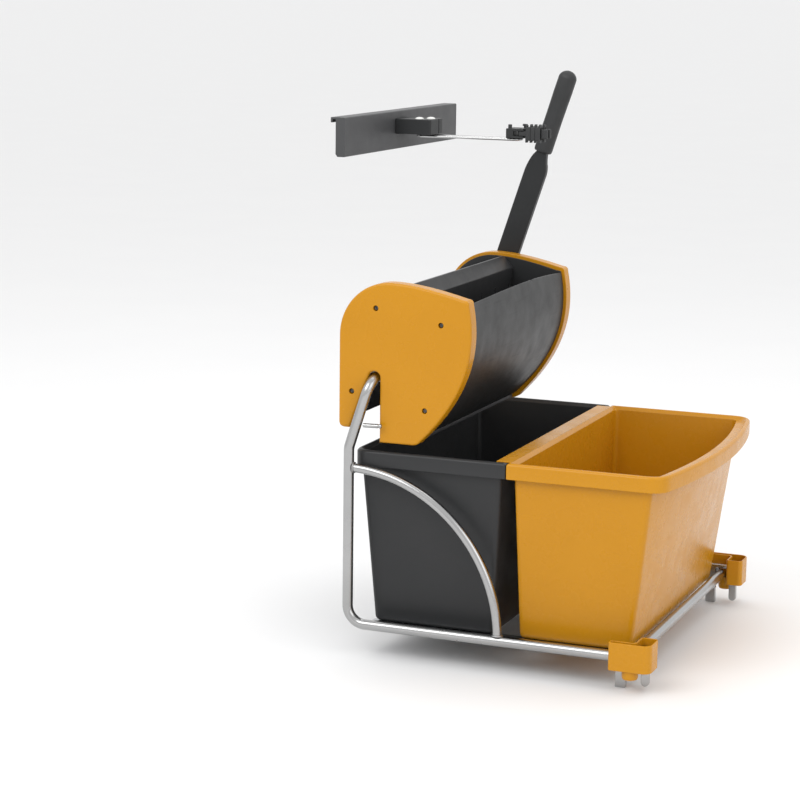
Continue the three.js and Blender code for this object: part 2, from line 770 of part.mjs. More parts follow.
// ---- lever, shaft and press plate ----
function addPress() {
  const nearEnd = wallNearY + gap;
  const bladeLow = coverFarY + leverGap;
  const bar = rodAlongY(shaftRadius, shaft.x, nearEnd, bladeLow + bladeThickness, shaft.z, 20);
  add('lever_shaft', bar, 'steel');
  addCam('near', insideNearY + camInset);
  addCam('far', insideFarY - camInset - camThickness);
  addReturnSpring(insideNearY + 5);
  addLever(bladeLow);
  addPressPlate();
}

function addCam(name, lowY) {
  const lean = THREE.MathUtils.degToRad(camLean);
  const tipX = shaft.x + camReach * Math.sin(lean);
  const tipZ = shaft.z + camReach * Math.cos(lean);
  const hub = shaftRadius + camHubWall;
  const shape = new THREE.Shape();
  shape.absarc(shaft.x, shaft.z, hub, Math.PI - lean, 2 * Math.PI - lean);
  shape.absarc(tipX, tipZ, camRadius, -lean, Math.PI - lean);
  shape.closePath();
  const bore = new THREE.Path();
  bore.absarc(shaft.x, shaft.z, shaftRadius + gap, 0, 2 * Math.PI);
  shape.holes.push(bore);
  add(`press_cam_${name}`, across(shape, lowY, lowY + camThickness, 0, 8), 'white');
}

// A torsion spring round the shaft, which brings the lever back up.
function addReturnSpring(lowY) {
  const coilRadius = shaftRadius + springClearance;
  const perTurn = 12;
  const steps = springTurns * perTurn;
  const stations = Array.from({ length: steps + 1 }, (_, i) => {
    const turn = (2 * Math.PI * i) / perTurn;
    const y = lowY + (springPitch * i) / perTurn;
    const place = point(shaft.x + coilRadius * Math.cos(turn), y, shaft.z + coilRadius * Math.sin(turn));
    const rise = springPitch / (2 * Math.PI * coilRadius);
    return station(place, point(-Math.sin(turn), rise, Math.cos(turn)));
  });
  add('return_spring', tubeAlong(new Route(stations), springWire / 2, 6), 'steel');
}

function addLever(bladeLow) {
  const lever = new THREE.Group();
  lever.position.set(shaft.x, 0, shaft.z);
  lever.rotation.y = THREE.MathUtils.degToRad(leverLean);
  assembly.add(lever);
  add('lever_blade', bladeGeometry(bladeLow), 'black', lever);
  add('lever_grip', gripGeometry(bladeLow + bladeThickness / 2), 'rubber', lever);
  const screwLow = bladeLow + bladeThickness + gap;
  const boltLow = screwLow + washerThickness;
  const washer = rodAlongY(shaftRadius + washerMargin, 0, screwLow, boltLow, 0, 18);
  const head = rodAlongY(boltRadius, 0, boltLow - 0.1, boltLow + boltHeight, 0, 6);
  add('lever_screw', join(washer, head), 'steel', lever);
}

function bladeGeometry(lowY) {
  const half = bladeWidth / 2;
  const hub = half + 3;
  const neckStart = bladeLength - 8;
  const shape = new THREE.Shape();
  shape.absarc(0, 0, hub, Math.PI, 2 * Math.PI);
  shape.lineTo(half, 30);
  shape.lineTo(half, bladeLength - 34);
  shape.lineTo(half - 5, bladeLength - 16);
  shape.lineTo(neckHalf + 2, neckStart);
  shape.lineTo(neckHalf, bladeLength);
  shape.lineTo(neckHalf, bladeLength + neckLength);
  shape.lineTo(-neckHalf, bladeLength + neckLength);
  shape.lineTo(-neckHalf, bladeLength);
  shape.lineTo(-neckHalf - 4, neckStart);
  shape.lineTo(-half, bladeLength - 40);
  shape.lineTo(-half, 30);
  shape.closePath();
  const bore = rodAlongY(shaftRadius + gap, 0, lowY - 1, lowY + bladeThickness + 1, 0, 24);
  return cut(across(shape, lowY, lowY + bladeThickness, 2, 8), bore);
}

// A rounded grip with a socket for the blade's neck.
function gripGeometry(middleY) {
  const start = bladeLength + gap;
  const half = gripWidth / 2;
  const profile = [
    new THREE.Vector2(0, 0),
    new THREE.Vector2(half - 2, 0),
    new THREE.Vector2(half, 3),
    new THREE.Vector2(half - 1, gripLength * 0.35),
    new THREE.Vector2(half, gripLength * 0.75),
  ];
  const tip = new THREE.EllipseCurve(0, gripLength - half, half, half, 0.08, Math.PI / 2).getPoints(5);
  const outline = [...profile, ...tip.slice(0, -1), new THREE.Vector2(0, gripLength)];
  const body = new THREE.LatheGeometry(outline, 20).rotateX(Math.PI / 2)
    .scale(1, gripThickness / gripWidth, 1).translate(0, middleY, start);
  const neck = neckHalf + gap;
  const reach = neckLength + gap;
  const thick = bladeThickness / 2 + gap;
  return cut(body, block(-neck, neck, middleY - thick, middleY + thick, start - 1, start + reach));
}

function addPressPlate() {
  const outline = plateProfile.map(([forward, up]) => new THREE.Vector2(hook.x + forward, hook.z + up));
  const shape = new THREE.Shape(outline);
  const lowY = insideNearY + runningGap;
  const highY = insideFarY - runningGap;
  const barrel = rodAlongY(plateBarrelRadius, plateHinge.x, lowY, highY, plateHinge.z, 18);
  const bore = rodAlongY(hingePinRadius + runningGap, plateHinge.x, lowY - 1, highY + 1, plateHinge.z, 14);
  add('press_plate', cut(join(across(shape, lowY, highY), barrel), bore), 'anthracite');
}

// ---- mop-handle holder on its panel ----
function addHolder() {
  addPanel();
  const baseLow = panelZ - holderTop - holderHeight;
  const pivot = point(-panelSetback + holderReach - pivotBack, holderSide + holderWidth / 2, baseLow);
  addHolderBase(baseLow, pivot);
  addArm(pivot);
  addClip(pivot);
}

function addPanel() {
  const face = -panelSetback;
  const back = face - panelThickness;
  const hookBack = back - panelLip;
  const lowZ = panelZ - panelHeight;
  const shape = new THREE.Shape();
  shape.moveTo(face, lowZ);
  shape.lineTo(face, panelZ);
  shape.lineTo(hookBack, panelZ);
  shape.lineTo(hookBack, panelZ - panelLip);
  shape.lineTo(hookBack + panelSheet, panelZ - panelLip);
  shape.lineTo(hookBack + panelSheet, panelZ - panelSheet);
  shape.lineTo(back, panelZ - panelSheet);
  shape.lineTo(back, lowZ + panelSheet);
  shape.lineTo(back + panelSheet, lowZ);
  shape.closePath();
  const panel = across(shape, panelMiddle - panelWidth / 2, panelMiddle + panelWidth / 2);
  add('holder_panel', panel, 'anthracite');
}

function addHolderBase(low, pivot) {
  const face = -panelSetback + gap;
  const top = low + holderHeight;
  const body = block(face, face + holderReach, holderSide, holderSide + holderWidth, low, top);
  const grooveY = holderSide + grooveSide;
  const groove = block(face + 12, face + holderReach + 1, grooveY, grooveY + grooveWidth, low + 3, top + 1);
  const bore = rodAlongZ(postRadius + runningGap, pivot.x, pivot.y, low - 1, low + postHeight + 1, 16);
  add('holder_base', cut(body, groove, bore), 'black');
  buttonPlaces.forEach(([forward, sideways], i) => {
    const x = face + forward;
    const y = holderSide + sideways;
    const dome = new THREE.SphereGeometry(buttonRadius, 14, 10).scale(1, 1, 0.5).translate(x, y, top);
    const below = block(x - 9, x + 9, y - 9, y + 9, low, top + gap);
    add(`holder_button_${i + 1}`, cut(dome, below), 'white');
  });
}

// One wire bent into a long loop, out to the clip, across and back, on a post that turns in the base.
function addArm(pivot) {
  const z = pivot.z - wireDiameter / 2 - 1;
  const nearY = pivot.y - armSpread / 2;
  const farY = pivot.y + armSpread / 2;
  const farX = pivot.x + armLength;
  const route = bentRoute([
    point(pivot.x, farY, z),
    point(farX, farY, z),
    point(farX, nearY, z),
    point(pivot.x, nearY, z),
    point(pivot.x, pivot.y - gap, z),
  ], armSpread / 2 - 1, 22);
  const post = rodAlongZ(postRadius, pivot.x, pivot.y, z - 1, pivot.z + postHeight, 14);
  const bridge = block(pivot.x - 2, pivot.x + 2, nearY, farY, z - 1.4, z + 1.4);
  add('holder_arm', join(tubeAlong(route, wireDiameter / 2, 8), post, bridge), 'chrome');
}

function addClip(pivot) {
  const lowX = pivot.x + armLength - clipBehind;
  const highX = lowX + clipLength;
  const lowZ = pivot.z - 1 + gap;
  const highZ = lowZ + clipHeight;
  const mouthLow = lowZ + mouthWall;
  const mouthHigh = highZ - mouthWall;
  const half = clipWidth / 2;
  const pinX = highX - jawPinBack;
  const body = block(lowX, highX, pivot.y - half, pivot.y + half, lowZ, highZ);
  const peg = rodAlongZ(pegRadius, lowX + 5, pivot.y - jawPinSpread, highZ - 1, highZ + pegHeight, 14);
  const mouth = block(
    highX - mouthDepth, highX + 1, pivot.y - half - 1, pivot.y + half + 1, mouthLow, mouthHigh,
  );
  const pinHoles = [-1, 1].map((side) => rodAlongZ(
    jawPinRadius + gap, pinX, pivot.y + side * jawPinSpread, lowZ - 1, highZ + 1, 12,
  ));
  add('clip_body', cut(join(body, peg), mouth, ...pinHoles), 'black');
  for (const [side, name] of sides) {
    const pinY = pivot.y + side * jawPinSpread;
    addJawPin(side, name, pinX, pinY, lowZ, highZ);
    const jaw = jawGeometry(side, pivot.y, pinX, highX + jawReach, mouthLow + gap, mouthHigh - gap);
    add(`clip_jaw_${name}`, jaw, 'rubber');
  }
}

// The far pin ends in a knob, the near one flush.
function addJawPin(side, name, x, y, lowZ, highZ) {
  const pin = rodAlongZ(jawPinRadius, x, y, lowZ, highZ + (side < 0 ? 0.5 : 4), 12);
  const knob = rodAlongZ(knobRadius, x, y, highZ + 3, highZ + pegHeight, 14);
  add(`clip_pin_${name}`, side < 0 ? pin : join(pin, knob), 'black');
}

// A finger in the clip's mouth, a tall ribbed pad ahead of it, and a stub at the pad's end.
function jawGeometry(side, middleY, pinX, padStart, lowZ, highZ) {
  const middleZ = (lowZ + highZ) / 2;
  const pinY = middleY + side * jawPinSpread;
  const padEnd = padStart + padLength;
  const stretch = (inner, outer) => span(side, inner, outer).map((y) => middleY + y);
  const [padLow, padHigh] = stretch(jawOpening, jawOpening + padThickness);
  const [stubLow, stubHigh] = stretch(jawOpening - 2, jawOpening + 4);
  const finger = block(pinX, padStart + 1, padLow, padHigh, lowZ, highZ);
  const knuckle = rodAlongZ(padThickness / 2, pinX, pinY, lowZ, highZ, 16);
  const pad = block(padStart, padEnd, padLow, padHigh, middleZ - padHeight / 2, middleZ + padHeight / 2);
  const stub = block(
    padEnd - 1, padEnd + stubLength, stubLow, stubHigh, middleZ - stubHeight / 2, middleZ + stubHeight / 2,
  );
  const pitch = (padLength - ribWidth) / (ribCount - 1);
  const ribs = Array.from({ length: ribCount }, (_, i) => block(
    padStart + pitch * i, padStart + pitch * i + ribWidth, padLow, padHigh,
    middleZ - ribHeight / 2, middleZ + ribHeight / 2,
  ));
  const bore = rodAlongZ(jawPinRadius + runningGap, pinX, pinY, lowZ - 1, highZ + 1, 12);
  return cut(join(knuckle, finger, pad, stub, ...ribs), bore);
}

addFrame();
addGreyBucket();
addYellowBucket();
for (const [side, name] of sides) {
  addSideCover(side, name);
  addEndWall(side, name);
}
addShells();
addDrainGrid();
addPress();
addHolder();

export default assembly;
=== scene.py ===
"""Looks for the double mop bucket with its lever wringer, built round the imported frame.

Shape functions work in millimetres in the frame of the CAD model, and make_piece turns them into metres.
"""
import math
import random

import bmesh
import bpy
from mathutils import Matrix, Vector
from mathutils.geometry import tessellate_polygon


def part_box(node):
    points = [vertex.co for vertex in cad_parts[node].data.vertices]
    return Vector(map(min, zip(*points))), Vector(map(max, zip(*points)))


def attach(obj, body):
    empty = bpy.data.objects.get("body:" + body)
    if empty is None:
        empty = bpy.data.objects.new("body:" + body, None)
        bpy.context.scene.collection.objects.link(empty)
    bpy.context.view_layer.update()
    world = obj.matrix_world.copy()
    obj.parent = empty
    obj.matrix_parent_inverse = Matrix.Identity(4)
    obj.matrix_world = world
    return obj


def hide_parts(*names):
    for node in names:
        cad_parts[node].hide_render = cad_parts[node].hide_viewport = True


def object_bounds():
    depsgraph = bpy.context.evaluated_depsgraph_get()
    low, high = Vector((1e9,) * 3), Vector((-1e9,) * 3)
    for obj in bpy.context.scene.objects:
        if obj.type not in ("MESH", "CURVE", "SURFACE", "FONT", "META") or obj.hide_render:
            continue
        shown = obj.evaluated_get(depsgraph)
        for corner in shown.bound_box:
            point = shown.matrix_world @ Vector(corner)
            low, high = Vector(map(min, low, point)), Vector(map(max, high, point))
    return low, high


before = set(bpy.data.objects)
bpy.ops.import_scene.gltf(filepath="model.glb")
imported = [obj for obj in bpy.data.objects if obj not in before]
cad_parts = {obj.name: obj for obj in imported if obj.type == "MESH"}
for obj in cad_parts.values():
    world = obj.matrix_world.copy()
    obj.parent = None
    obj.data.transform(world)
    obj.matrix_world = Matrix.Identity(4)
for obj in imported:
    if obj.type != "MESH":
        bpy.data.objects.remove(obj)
cad_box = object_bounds()

MM = 0.001
random.seed(7)
SIDES = {"near": -1, "far": 1}
GAP = 0.3  # between pieces that touch
LIFT_GAP = 1.5  # round what lifts off by hand


class Box:
    """A CAD node's box at rest, in millimetres."""

    def __init__(self, node):
        low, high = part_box(node)
        self.x0, self.y0, self.z0 = (value / MM for value in low)
        self.x1, self.y1, self.z1 = (value / MM for value in high)
        self.x, self.y, self.z = ((a + b) / 2 / MM for a, b in zip(low, high))


# ---- places and sizes that the shapes share ----
front_tube = Box("front_tube")
TUBE = (front_tube.z1 - front_tube.z0) / 2
RAIL_Y = front_tube.y1 - TUBE
RAIL_Z = front_tube.z0 + TUBE
FRONT_X = front_tube.x
HOOK_X = 34.0
HOOK_Z = Box("main_tube").z1 - TUBE
LEAN_START = RAIL_Z + 272
BEND = 28.0
BRACE_REACH = 242.0
BEAD = 1.6  # weld bead's radius round a bar
STITCH = 1.5  # weld bead's radius along a ledge
SHAFT = (Box("lever_shaft").x, Box("lever_shaft").z)
PIVOT_BACK = 27.0  # arm's pivot behind the holder's front
CLIP_HEIGHT = 15.0
CLIP_WALL = 3.5
BUMPER_DEPTH = 13.0
BUMPER_RETURN = 24.0  # inwards from the rail
RIM_TOP = Box("grey_bucket").z1
RIM_HALF = Box("grey_bucket").y1
BUCKET_FLOOR = Box("grey_bucket").z0
BUCKET_WALL = 3.0
RIM = 11.0
RIM_DEPTH = 24.0
RIM_SLOPE = 6.0
RIM_SHOULDER = 5.0
BODY_CORNER = 14.0
INSIDE_ROUND = 12.0
OUTSIDE_ROUND = 8.0
SIDE_DRAFT = 26.0
LIP_UNDERSIDE = RIM_TOP - 2.5
YELLOW_BOW = 28.0
YELLOW_FRONT_RIM = 22.0
GREY_REAR = Box("grey_bucket").x0
GREY_FRONT = Box("grey_bucket").x1
YELLOW_REAR = GREY_FRONT + 0.8
YELLOW_FRONT = Box("yellow_bucket").x1 - YELLOW_BOW
HINGE = (Box("hinge_pin_near").x, Box("hinge_pin_near").z)
CROWN_RADIUS = 82.0
CROWN_X = CROWN_RADIUS - 57  # the crown's centre, from the crossbar
CROWN_Z = 144 - CROWN_RADIUS
SHELL_INSET = 5.0
LEVER_LEAN = math.radians(18.3)
SHAFT_RADIUS = 8.0
ARCH = 0.65  # where the front shell's edge is highest, of the way to the far wall
ARCH_RISE = 5.0
BLADE_LENGTH = 272.0  # from the shaft to the grip


# ---- places: how a shape's own u, v, w become x, y, z ----
def standing(u, v, w):
    """An outline in X and Z, as thick as w runs along Y."""
    return Vector((u, w, v))


def lying(u, v, w):
    """An outline in X and Y, as thick as w runs along Z."""
    return Vector((u, v, w))


def on_lever(u, v, w):
    """An outline along the lever, from its shaft, as thick as w runs along Y."""
    return Vector((
        SHAFT[0] + u * math.cos(LEVER_LEAN) + v * math.sin(LEVER_LEAN),
        w,
        SHAFT[1] - u * math.sin(LEVER_LEAN) + v * math.cos(LEVER_LEAN),
    ))


# ---- outlines ----
def bezier(start, first, second, end, steps):
    points = []
    for i in range(steps + 1):
        t = i / steps
        s = 1 - t
        points.append(tuple(
            s ** 3 * a + 3 * s * s * t * b + 3 * s * t * t * c + t ** 3 * d
            for a, b, c, d in zip(start, first, second, end)
        ))
    return points


def quadratic(start, control, end, steps):
    points = []
    for i in range(steps + 1):
        t = i / steps
        s = 1 - t
        points.append(tuple(
            s * s * a + 2 * s * t * b + t * t * c for a, b, c in zip(start, control, end)
        ))
    return points


def arc(x, y, radius, start, end, steps):
    """Points on a circle between two angles in degrees."""
    angles = [math.radians(start + (end - start) * i / steps) for i in range(steps + 1)]
    return [(x + radius * math.cos(a), y + radius * math.sin(a)) for a in angles]


def circle(x, y, radius, steps=32):
    return arc(x, y, radius, 0, 360 * (steps - 1) / steps, steps - 1)


def rounded(corners, steps=6):
    """A closed outline from corners (x, y, radius). A corner without a radius stays sharp."""
    outline = []
    for i, corner in enumerate(corners):
        here = Vector(corner[:2])
        radius = corner[2] if len(corner) > 2 else 0
        if radius <= 0:
            outline.append(tuple(here))
            continue
        before = (Vector(corners[i - 1][:2]) - here).normalized()
        after = (Vector(corners[(i + 1) % len(corners)][:2]) - here).normalized()
        half = before.angle(after) / 2
        centre = here + (before + after).normalized() * radius / math.sin(half)
        first = here + before * radius / math.tan(half) - centre
        last = here + after * radius / math.tan(half) - centre
        start = math.atan2(first.y, first.x)
        turn = math.atan2(last.y, last.x) - start
        turn = (turn + math.pi) % (2 * math.pi) - math.pi
        for k in range(steps + 1):
            angle = start + turn * k / steps
            outline.append((centre.x + radius * math.cos(angle), centre.y + radius * math.sin(angle)))
    return outline


def tidied(points):
    """The outline without points that repeat the one before."""
    kept = []
    for point in points:
        if not kept or (Vector(point) - Vector(kept[-1])).length > 0.02:
            kept.append(point)
    if (Vector(kept[0]) - Vector(kept[-1])).length <= 0.02:
        kept.pop()
    return kept


def signed_area(points):
    return sum(
        a[0] * b[1] - b[0] * a[1] for a, b in zip(points, points[1:] + points[:1])
    ) / 2


def turned(points, clockwise):
    return points[::-1] if (signed_area(points) < 0) != clockwise else points


def inset(points, distance):
    """The outline moved to its left by a distance, which is inwards if it runs anticlockwise."""
    moved = []
    count = len(points)
    for i, point in enumerate(points):
        here = Vector(point)
        before = (here - Vector(points[i - 1])).normalized()
        after = (Vector(points[(i + 1) % count]) - here).normalized()
        first = Vector((-before.y, before.x))
        second = Vector((-after.y, after.x))
        share = max(1 + first.dot(second), 0.3)
        moved.append(tuple(here + (first + second) * distance / share))
    return moved


# ---- solids ----
class Solid:
    """Closed surfaces collected into one mesh."""

    def __init__(self):
        self.points = []
        self.faces = []

    def ring(self, points):
        start = len(self.points)
        self.points.extend(points)
        return start

    def bridge(self, first, second, count):
        for i in range(count):
            j = (i + 1) % count
            self.faces.append((first + i, first + j, second + j, second + i))

    def loft(self, rings):
        """Joins rings of equal length and closes both ends."""
        starts = [self.ring(points) for points in rings]
        count = len(rings[0])
        for first, second in zip(starts, starts[1:]):
            self.bridge(first, second, count)
        self.faces.append(tuple(range(starts[0], starts[0] + count)))
        self.faces.append(tuple(range(starts[-1], starts[-1] + count)))
        return self

    def plate(
        self, outline, low, high, place, low_edge=0.6, high_edge=0.6, holes=(), steps=4, hole_edge=None,
    ):
        """A plate with rounded edges. Its holes have the same edges, or their own crisp one."""
        levels = rounded_levels(low, high, low_edge, high_edge, steps)
        hole_levels = rounded_levels(low, high, hole_edge, hole_edge, 3) if hole_edge else levels
        walls = [(turned(tidied(list(outline)), False), levels)]
        walls += [(turned(tidied(list(hole)), True), hole_levels) for hole in holes]
        low_rings, high_rings = [], []
        for loop, loop_levels in walls:
            flat_rings = [inset(loop, distance) for _, distance in loop_levels]
            starts = [
                self.ring([place(u, v, height) for u, v in flat_ring])
                for flat_ring, (height, _) in zip(flat_rings, loop_levels)
            ]
            for first, second in zip(starts, starts[1:]):
                self.bridge(first, second, len(loop))
            low_rings.append((starts[0], flat_rings[0]))
            high_rings.append((starts[-1], flat_rings[-1]))
        self.cap(low_rings)
        self.cap(high_rings)
        return self

    def cap(self, rings):
        numbers = [start + i for start, ring in rings for i in range(len(ring))]
        triangles = tessellate_polygon([[Vector((u, v, 0)) for u, v in ring] for _, ring in rings])
        for triangle in triangles:
            self.faces.append(tuple(numbers[i] for i in triangle))

    def tube(self, path, radius, sides=28, edge=0.8):
        """A round bar along a path, with softened ends. The radius may differ at each point."""
        points = [Vector(point) for point in path]
        radii = list(radius) if hasattr(radius, "__len__") else [radius] * len(points)
        tangents = [
            (points[min(i + 1, len(points) - 1)] - points[max(i - 1, 0)]).normalized()
            for i in range(len(points))
        ]
        across = tangents[0].orthogonal().normalized()
        rings = []
        for i, (point, tangent) in enumerate(zip(points, tangents)):
            across = (across - tangent * across.dot(tangent)).normalized()
            up = tangent.cross(across)
            if i == 0:
                rings.append(circle_in_space(point, across, up, radii[i] - edge, sides))
                point = point + tangent * edge
            if i == len(points) - 1:
                point = point - tangent * edge
            rings.append(circle_in_space(point, across, up, radii[i], sides))
            if i == len(points) - 1:
                rings.append(circle_in_space(point + tangent * edge, across, up, radii[i] - edge, sides))
        return self.loft(rings)

    def lathe(self, profile, middle, axis, sides=32):
        """A turned shape: profile holds (radius, height) pairs along the axis from the middle."""
        axis = Vector(axis).normalized()
        across = axis.orthogonal().normalized()
        up = axis.cross(across)
        rings = [
            circle_in_space(Vector(middle) + axis * height, across, up, max(radius, 0.01), sides)
            for radius, height in profile
        ]
        return self.loft(rings)


def circle_in_space(middle, across, up, radius, sides):
    angles = [2 * math.pi * k / sides for k in range(sides)]
    return [middle + across * (radius * math.cos(a)) + up * (radius * math.sin(a)) for a in angles]


def rounded_levels(low, high, low_edge, high_edge, steps):
    """Heights and insets that round a plate's lower and upper edges."""
    levels = []
    for k in range(steps + 1):
        angle = math.pi / 2 * k / steps
        levels.append((low + low_edge * (1 - math.cos(angle)), low_edge * (1 - math.sin(angle))))
    for k in range(steps + 1):
        angle = math.pi / 2 * (1 - k / steps)
        levels.append((high - high_edge * (1 - math.cos(angle)), high_edge * (1 - math.sin(angle))))
    return levels


def straight_block(x0, x1, y0, y1, z0, z1, edge=1.0, corner=1.5):
    """A block that lies flat, with rounded corners and edges."""
    corners = [(x0, y0, corner), (x1, y0, corner), (x1, y1, corner), (x0, y1, corner)]
    return Solid().plate(rounded(corners), z0, z1, lying, edge, edge)


def merged(*solids):
    whole = Solid()
    for solid in solids:
        start = whole.ring(solid.points)
        whole.faces.extend(tuple(start + i for i in face) for face in solid.faces)
    return whole


def make_piece(name, solid, material, body, replaces=(), sharp=38):
    mesh = bpy.data.meshes.new(name)
    mesh.from_pydata([Vector(point) * MM for point in solid.points], [], solid.faces)
    work = bmesh.new()
    work.from_mesh(mesh)
    bmesh.ops.remove_doubles(work, verts=work.verts, dist=1e-6)
    bmesh.ops.recalc_face_normals(work, faces=work.faces)
    work.to_mesh(mesh)
    work.free()
    mesh.shade_smooth()
    mesh.set_sharp_from_angle(angle=math.radians(sharp))
    piece = bpy.data.objects.new(name, mesh)
    bpy.context.scene.collection.objects.link(piece)
    mesh.materials.append(material)
    weighted = piece.modifiers.new("weighted_normals", "WEIGHTED_NORMAL")
    weighted.keep_sharp = True
    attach(piece, body)
    if replaces:
        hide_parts(*replaces)
    return piece


# ---- materials ----
class Shader:
    """A material's node tree, with short names for what the materials here need."""

    def __init__(self, name, roughness, metallic=0.0, ior=1.5):
        self.material = bpy.data.materials.new(name)
        self.material.use_nodes = True
        self.tree = self.material.node_tree
        self.surface = self.tree.nodes["Principled BSDF"]
        self.surface.inputs["Metallic"].default_value = metallic
        self.surface.inputs["IOR"].default_value = ior
        self.surface.inputs["Roughness"].default_value = roughness
        self.place = self.tree.nodes.new("ShaderNodeTexCoord").outputs["Object"]

    def join(self, output, socket):
        self.tree.links.new(output, socket)

    def noise(self, scale, detail=2.0, stretch=(1, 1, 1)):
        mapping = self.tree.nodes.new("ShaderNodeMapping")
        mapping.inputs["Scale"].default_value = stretch
        self.join(self.place, mapping.inputs["Vector"])
        noise = self.tree.nodes.new("ShaderNodeTexNoise")
        noise.inputs["Scale"].default_value = scale
        noise.inputs["Detail"].default_value = detail
        self.join(mapping.outputs["Vector"], noise.inputs["Vector"])
        return noise.outputs["Fac"]

    def cells(self, scale):
        voronoi = self.tree.nodes.new("ShaderNodeTexVoronoi")
        voronoi.inputs["Scale"].default_value = scale
        self.join(self.place, voronoi.inputs["Vector"])
        return voronoi.outputs["Distance"]

    def edges(self):
        """How sharply the surface turns outwards, for wear."""
        return self.tree.nodes.new("ShaderNodeNewGeometry").outputs["Pointiness"]

    def ranged(self, value, low, high, out_low, out_high):
        node = self.tree.nodes.new("ShaderNodeMapRange")
        limits = {"From Min": low, "From Max": high, "To Min": out_low, "To Max": out_high}
        for socket, number in limits.items():
            node.inputs[socket].default_value = number
        self.join(value, node.inputs["Value"])
        return node.outputs["Result"]

    def sum(self, first, second):
        node = self.tree.nodes.new("ShaderNodeMath")
        node.operation = "ADD"
        self.join(first, node.inputs[0])
        self.join(second, node.inputs[1])
        return node.outputs[0]

    def mixed(self, share, first, second):
        node = self.tree.nodes.new("ShaderNodeMix")
        node.data_type = "RGBA"
        self.join(share, node.inputs["Factor"])
        for socket, colour in ((node.inputs[6], first), (node.inputs[7], second)):
            if isinstance(colour, tuple):
                socket.default_value = (*colour, 1)
            else:
                self.join(colour, socket)
        return node.outputs[2]

    def bumped(self, height, depth, before=None):
        node = self.tree.nodes.new("ShaderNodeBump")
        node.inputs["Distance"].default_value = depth * MM
        node.inputs["Strength"].default_value = 1.0
        self.join(height, node.inputs["Height"])
        if before:
            self.join(before, node.inputs["Normal"])
        return node.outputs["Normal"]

    def finish(self, colour, roughness, normal):
        self.join(colour, self.surface.inputs["Base Color"])
        self.join(roughness, self.surface.inputs["Roughness"])
        self.join(normal, self.surface.inputs["Normal"])
        return self.material


def plastic(name, colour, shade, worn, roughness, grain_scale, grain_depth, ripple_depth):
    """Moulded plastic: faint mottling, ripple, surface grain, fine scuffs and paler worn edges."""
    shader = Shader(name, roughness, ior=1.35)
    mottled = shader.mixed(shader.ranged(shader.noise(9, 3), 0.35, 0.7, 0, 1), colour, shade)
    fine = shader.mixed(shader.ranged(shader.noise(160, 4), 0.3, 0.75, 0, 0.35), mottled, shade)
    wear = shader.ranged(shader.edges(), 0.52, 0.6, 0, 0.5)
    base = shader.mixed(wear, fine, worn)
    clouds = shader.ranged(shader.noise(30, 5), 0.3, 0.7, roughness - 0.05, roughness + 0.06)
    scuffs = shader.ranged(shader.noise(120, 6, (1, 0.08, 1)), 0.6, 0.72, 0, 0.04)
    ripple = shader.bumped(shader.noise(22, 1), ripple_depth)
    grain = shader.bumped(shader.noise(grain_scale, 2), grain_depth, ripple)
    return shader.finish(base, shader.sum(clouds, scuffs), grain)


def polished_metal(name, colour, shade, roughness, stretch, line_depth):
    """Bright metal with faint drawing lines, smudges and a slight tint where it is worn."""
    shader = Shader(name, roughness, 1.0)
    base = shader.mixed(shader.ranged(shader.noise(12, 4), 0.35, 0.75, 0, 1), colour, shade)
    smudges = shader.ranged(shader.noise(45, 5), 0.35, 0.75, roughness - 0.04, roughness + 0.1)
    lines = shader.bumped(shader.noise(500, 3, stretch), line_depth)
    return shader.finish(base, smudges, lines)


def rubber(name, colour, shade):
    """Soft grip with a pebbled skin."""
    shader = Shader(name, 0.6)
    base = shader.mixed(shader.ranged(shader.noise(40, 4), 0.3, 0.7, 0, 1), colour, shade)
    dull = shader.ranged(shader.noise(60, 3), 0.3, 0.7, 0.46, 0.62)
    return shader.finish(base, dull, shader.bumped(shader.cells(900), 0.06))


YELLOW = plastic(
    "yellow_plastic", (0.52, 0.228, 0.006), (0.50, 0.217, 0.005), (0.58, 0.27, 0.012),
    0.27, 1100, 0.010, 0.05,
)
GREY = plastic(
    "grey_plastic", (0.028, 0.028, 0.029), (0.024, 0.025, 0.026), (0.05, 0.05, 0.052),
    0.38, 1500, 0.03, 0.05,
)
SHELL = plastic(
    "shell_plastic", (0.024, 0.025, 0.026), (0.021, 0.022, 0.023), (0.05, 0.05, 0.052),
    0.40, 1500, 0.03, 0.03,
)
PANEL = plastic(
    "panel_plastic", (0.062, 0.063, 0.065), (0.052, 0.053, 0.055), (0.11, 0.11, 0.115),
    0.42, 1500, 0.04, 0.15,
)
BLACK = plastic(
    "black_plastic", (0.024, 0.025, 0.026), (0.018, 0.019, 0.020), (0.06, 0.06, 0.06),
    0.40, 1500, 0.035, 0.15,
)
WHITE = plastic(
    "white_plastic", (0.70, 0.70, 0.68), (0.62, 0.62, 0.60), (0.78, 0.78, 0.77),
    0.35, 1500, 0.01, 0.1,
)
CHROME = polished_metal("chrome", (0.43, 0.43, 0.43), (0.38, 0.38, 0.38), 0.20, (1, 1, 1), 0.0008)
STEEL = polished_metal("steel", (0.46, 0.47, 0.48), (0.36, 0.37, 0.38), 0.30, (0.1, 1, 1), 0.004)
RUBBER = rubber("grip_rubber", (0.022, 0.023, 0.024), (0.016, 0.017, 0.018))
SCREW = polished_metal("screw_steel", (0.14, 0.14, 0.14), (0.10, 0.10, 0.10), 0.4, (1, 1, 1), 0.004)
WELD = polished_metal("weld", (0.42, 0.42, 0.43), (0.28, 0.27, 0.26), 0.34, (1, 1, 1), 0.02)


